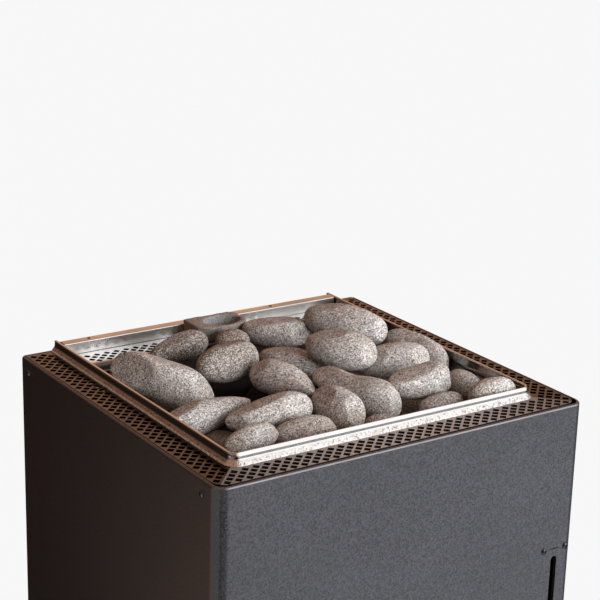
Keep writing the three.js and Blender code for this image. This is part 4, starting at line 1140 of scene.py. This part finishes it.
def keep_node(node, material, bevel=0.4):
    """A CAD solid whose shape is right: cleaned, edges broken, and given its material."""
    obj = nodes[node]
    obj.data.materials.clear()
    obj.data.materials.append(material)
    modify(obj, "weld", "WELD", merge_threshold=1e-5)
    modify(obj, "flat", "DECIMATE", decimate_type="DISSOLVE", angle_limit=math.radians(0.5))
    edge_modifiers(obj, bevel)


for node_name, its_material in {
    "back_panel": BODY, "stone_grate": DARK_SHEET_AND_SHADE, "inner_frame": ZINCED, "terminal_box": ZINCED,
    "base_plate": ZINCED, "water_tank": STEEL, "gauge_bracket": ZINCED,
}.items():
    keep_node(node_name, its_material)

ELEMENT_X = (-81, 0, 81)
ELEMENT_TUBE = 4.25     # radius
LEG_FRONT, LEG_BACK = -108, 92
LEG_FOOT, ELEMENT_TOP, ELEMENT_DIP = 278, 655, 470
STEAM_LEFT, STEAM_RIGHT, STEAM_FRONT, STEAM_BACK, STEAM_Z = -110, 84, 149, 164, 372
PIPE_TUBE, PIPE_Y, PIPE_Z = 4, 157, 352


def make_elements():
    for i, x in enumerate(ELEMENT_X):
        points = [
            (x, LEG_FRONT, LEG_FOOT), (x, LEG_FRONT, ELEMENT_TOP), (x, -40, ELEMENT_TOP), (x, -40, ELEMENT_DIP),
            (x, 24, ELEMENT_DIP), (x, 24, ELEMENT_TOP), (x, LEG_BACK, ELEMENT_TOP), (x, LEG_BACK, LEG_FOOT),
        ]
        Shape().tube(points, 24, ELEMENT_TUBE).done(
            f"element_{i + 1}", HEATER, "heater", "element_steel", [f"heating_element_{i + 1}"],
        )
    steam = [
        (STEAM_LEFT, STEAM_FRONT, LEG_FOOT), (STEAM_LEFT, STEAM_FRONT, STEAM_Z),
        (STEAM_RIGHT, STEAM_FRONT, STEAM_Z), (STEAM_RIGHT, STEAM_BACK, STEAM_Z),
        (STEAM_LEFT, STEAM_BACK, STEAM_Z), (STEAM_LEFT, STEAM_BACK, LEG_FOOT),
    ]
    coil = Shape().tube(steam, 7.4, ELEMENT_TUBE)
    coil.done("steam_coil", HEATER, "heater", "element_steel", ["steam_element"])
    low, high = mm_box("gauge_pipe")
    x, y = high.x - PIPE_TUBE, low.y + PIPE_TUBE
    run = [(low.x, PIPE_Y, PIPE_Z), (x, PIPE_Y, PIPE_Z), (x, y, PIPE_Z), (x, y, high.z)]
    Shape().tube(run, 10, PIPE_TUBE).done("level_pipe", STEEL, "heater", "stainless", ["gauge_pipe"])


make_elements()


# Outlines of turned parts as (radius, height).
FLOAT_BEAD = [
    (0, 0), (1.6, 0.1), (2.8, 0.8), (3.5, 2.0), (3.6, 3.2), (3.6, 8.8), (3.5, 10), (2.8, 11.2), (1.6, 11.9),
    (0, 12),
]
FOOT_PAD = [
    (0, 0), (15.2, 0), (16, 0.8), (16, 5.2), (15.2, 6), (13, 7.4), (9.5, 8), (8.2, 8.2), (8, 12.4),
    (7.4, 13), (4, 13),
]
FOOT_THREAD = [(4.0 - 0.35 * (k % 2), 13.4 + 0.62 * k) for k in range(78)]
FOOT_PROFILE = FOOT_PAD + FOOT_THREAD + [(3.4, 61.8), (0, 62)]


def make_turned_parts():
    low, high = mm_box("gauge_tube")
    middle, length = middle_of("gauge_tube"), high.z - low.z
    wall = [(5.5, 0.3), (5.5, length), (4.2, length), (4.2, 2), (0.01, 2), (0.01, 0), (5.2, 0)]
    Shape().ring_lathe(wall, (middle.x, middle.y, low.z)).done(
        "level_tube", TUBE, "heater", "gauge_glass", ["gauge_tube"], smooth=40,
    )
    low, middle = mm_box("gauge_float")[0], middle_of("gauge_float")
    Shape().lathe(FLOAT_BEAD, (middle.x, middle.y, low.z)).done(
        "level_bead", RED, body_of("gauge_float"), "float_red", ["gauge_float"], smooth=60,
    )
    for node in ("foot_front_left", "foot_front_right", "foot_back_left", "foot_back_right"):
        middle = middle_of(node)
        Shape().lathe(FOOT_PROFILE, (middle.x, middle.y, 0), sides=36).done(
            node + "_pad", MOULDED, body_of(node), "black_plastic", [node], smooth=50,
        )
    low, high = mm_box("cable_gland")
    middle = middle_of("cable_gland")
    r = high.x - middle.x
    gland = [
        (5, 0.4), (5.4, 0), (8.4, 0), (9, 0.6), (10.4, 3), (r, 5.4), (r, 19.5), (8, 19.5), (8, 22.3), (r, 22.3),
        (r, 28.2), (11.2, 29), (5.6, 29), (5, 28.4),
    ]
    Shape().ring_lathe(gland, (middle.x, middle.y, low.z), sides=48).done(
        "gland", MOULDED, "heater", "black_plastic", ["cable_gland"], smooth=40,
    )


make_turned_parts()


DRAIN_AT = (104, 157, 20)               # middle of the valve's body


def make_drain():
    x, y, z = DRAIN_AT
    high = mm_box("drain_valve")[1]
    shape = Shape().box((x - 9, y - 9, z - 9), (x + 22, y + 9, z + 8))
    shape.ring_lathe([(4, z), (6, z), (6, high.z), (4, high.z)], (x, y, 0), sides=32)
    shape.ring_lathe([(4, 0), (6, 0), (6, 14), (6.4, 14.4), (6.4, 16), (4, 16)], (x + 20, y, z), (1, 0, 0), 32)
    shape.lathe([(0, z + 7), (3, z + 7), (3, z + 10), (0, z + 10)], (x + 16, y, 0), sides=24)
    shape.done("drain_cock", GOLDEN, "heater", "brass", ["drain_valve"], bevel=0.7, smooth=40)
    keep_node("drain_lever", RED, 0.9)


make_drain()


BACK_BOLTS = [(x, z) for x in (-190, 190) for z in (90, 380, 670)]


def make_back_bolts():
    head = [(0, 0.5)] + [(r, h * 0.8) for r, h in SCREW_PROFILE[1:-2]] + [(1.5, -1.2), (0, -1.2)]
    for i, (x, z) in enumerate(BACK_BOLTS):
        Shape().lathe(head, (x, BACK + 1.8, z), (0, 1, 0), 28).done(
            f"back_bolt_{i + 1}", SCREW, "heater", "black_screw", smooth=50,
        )


make_back_bolts()
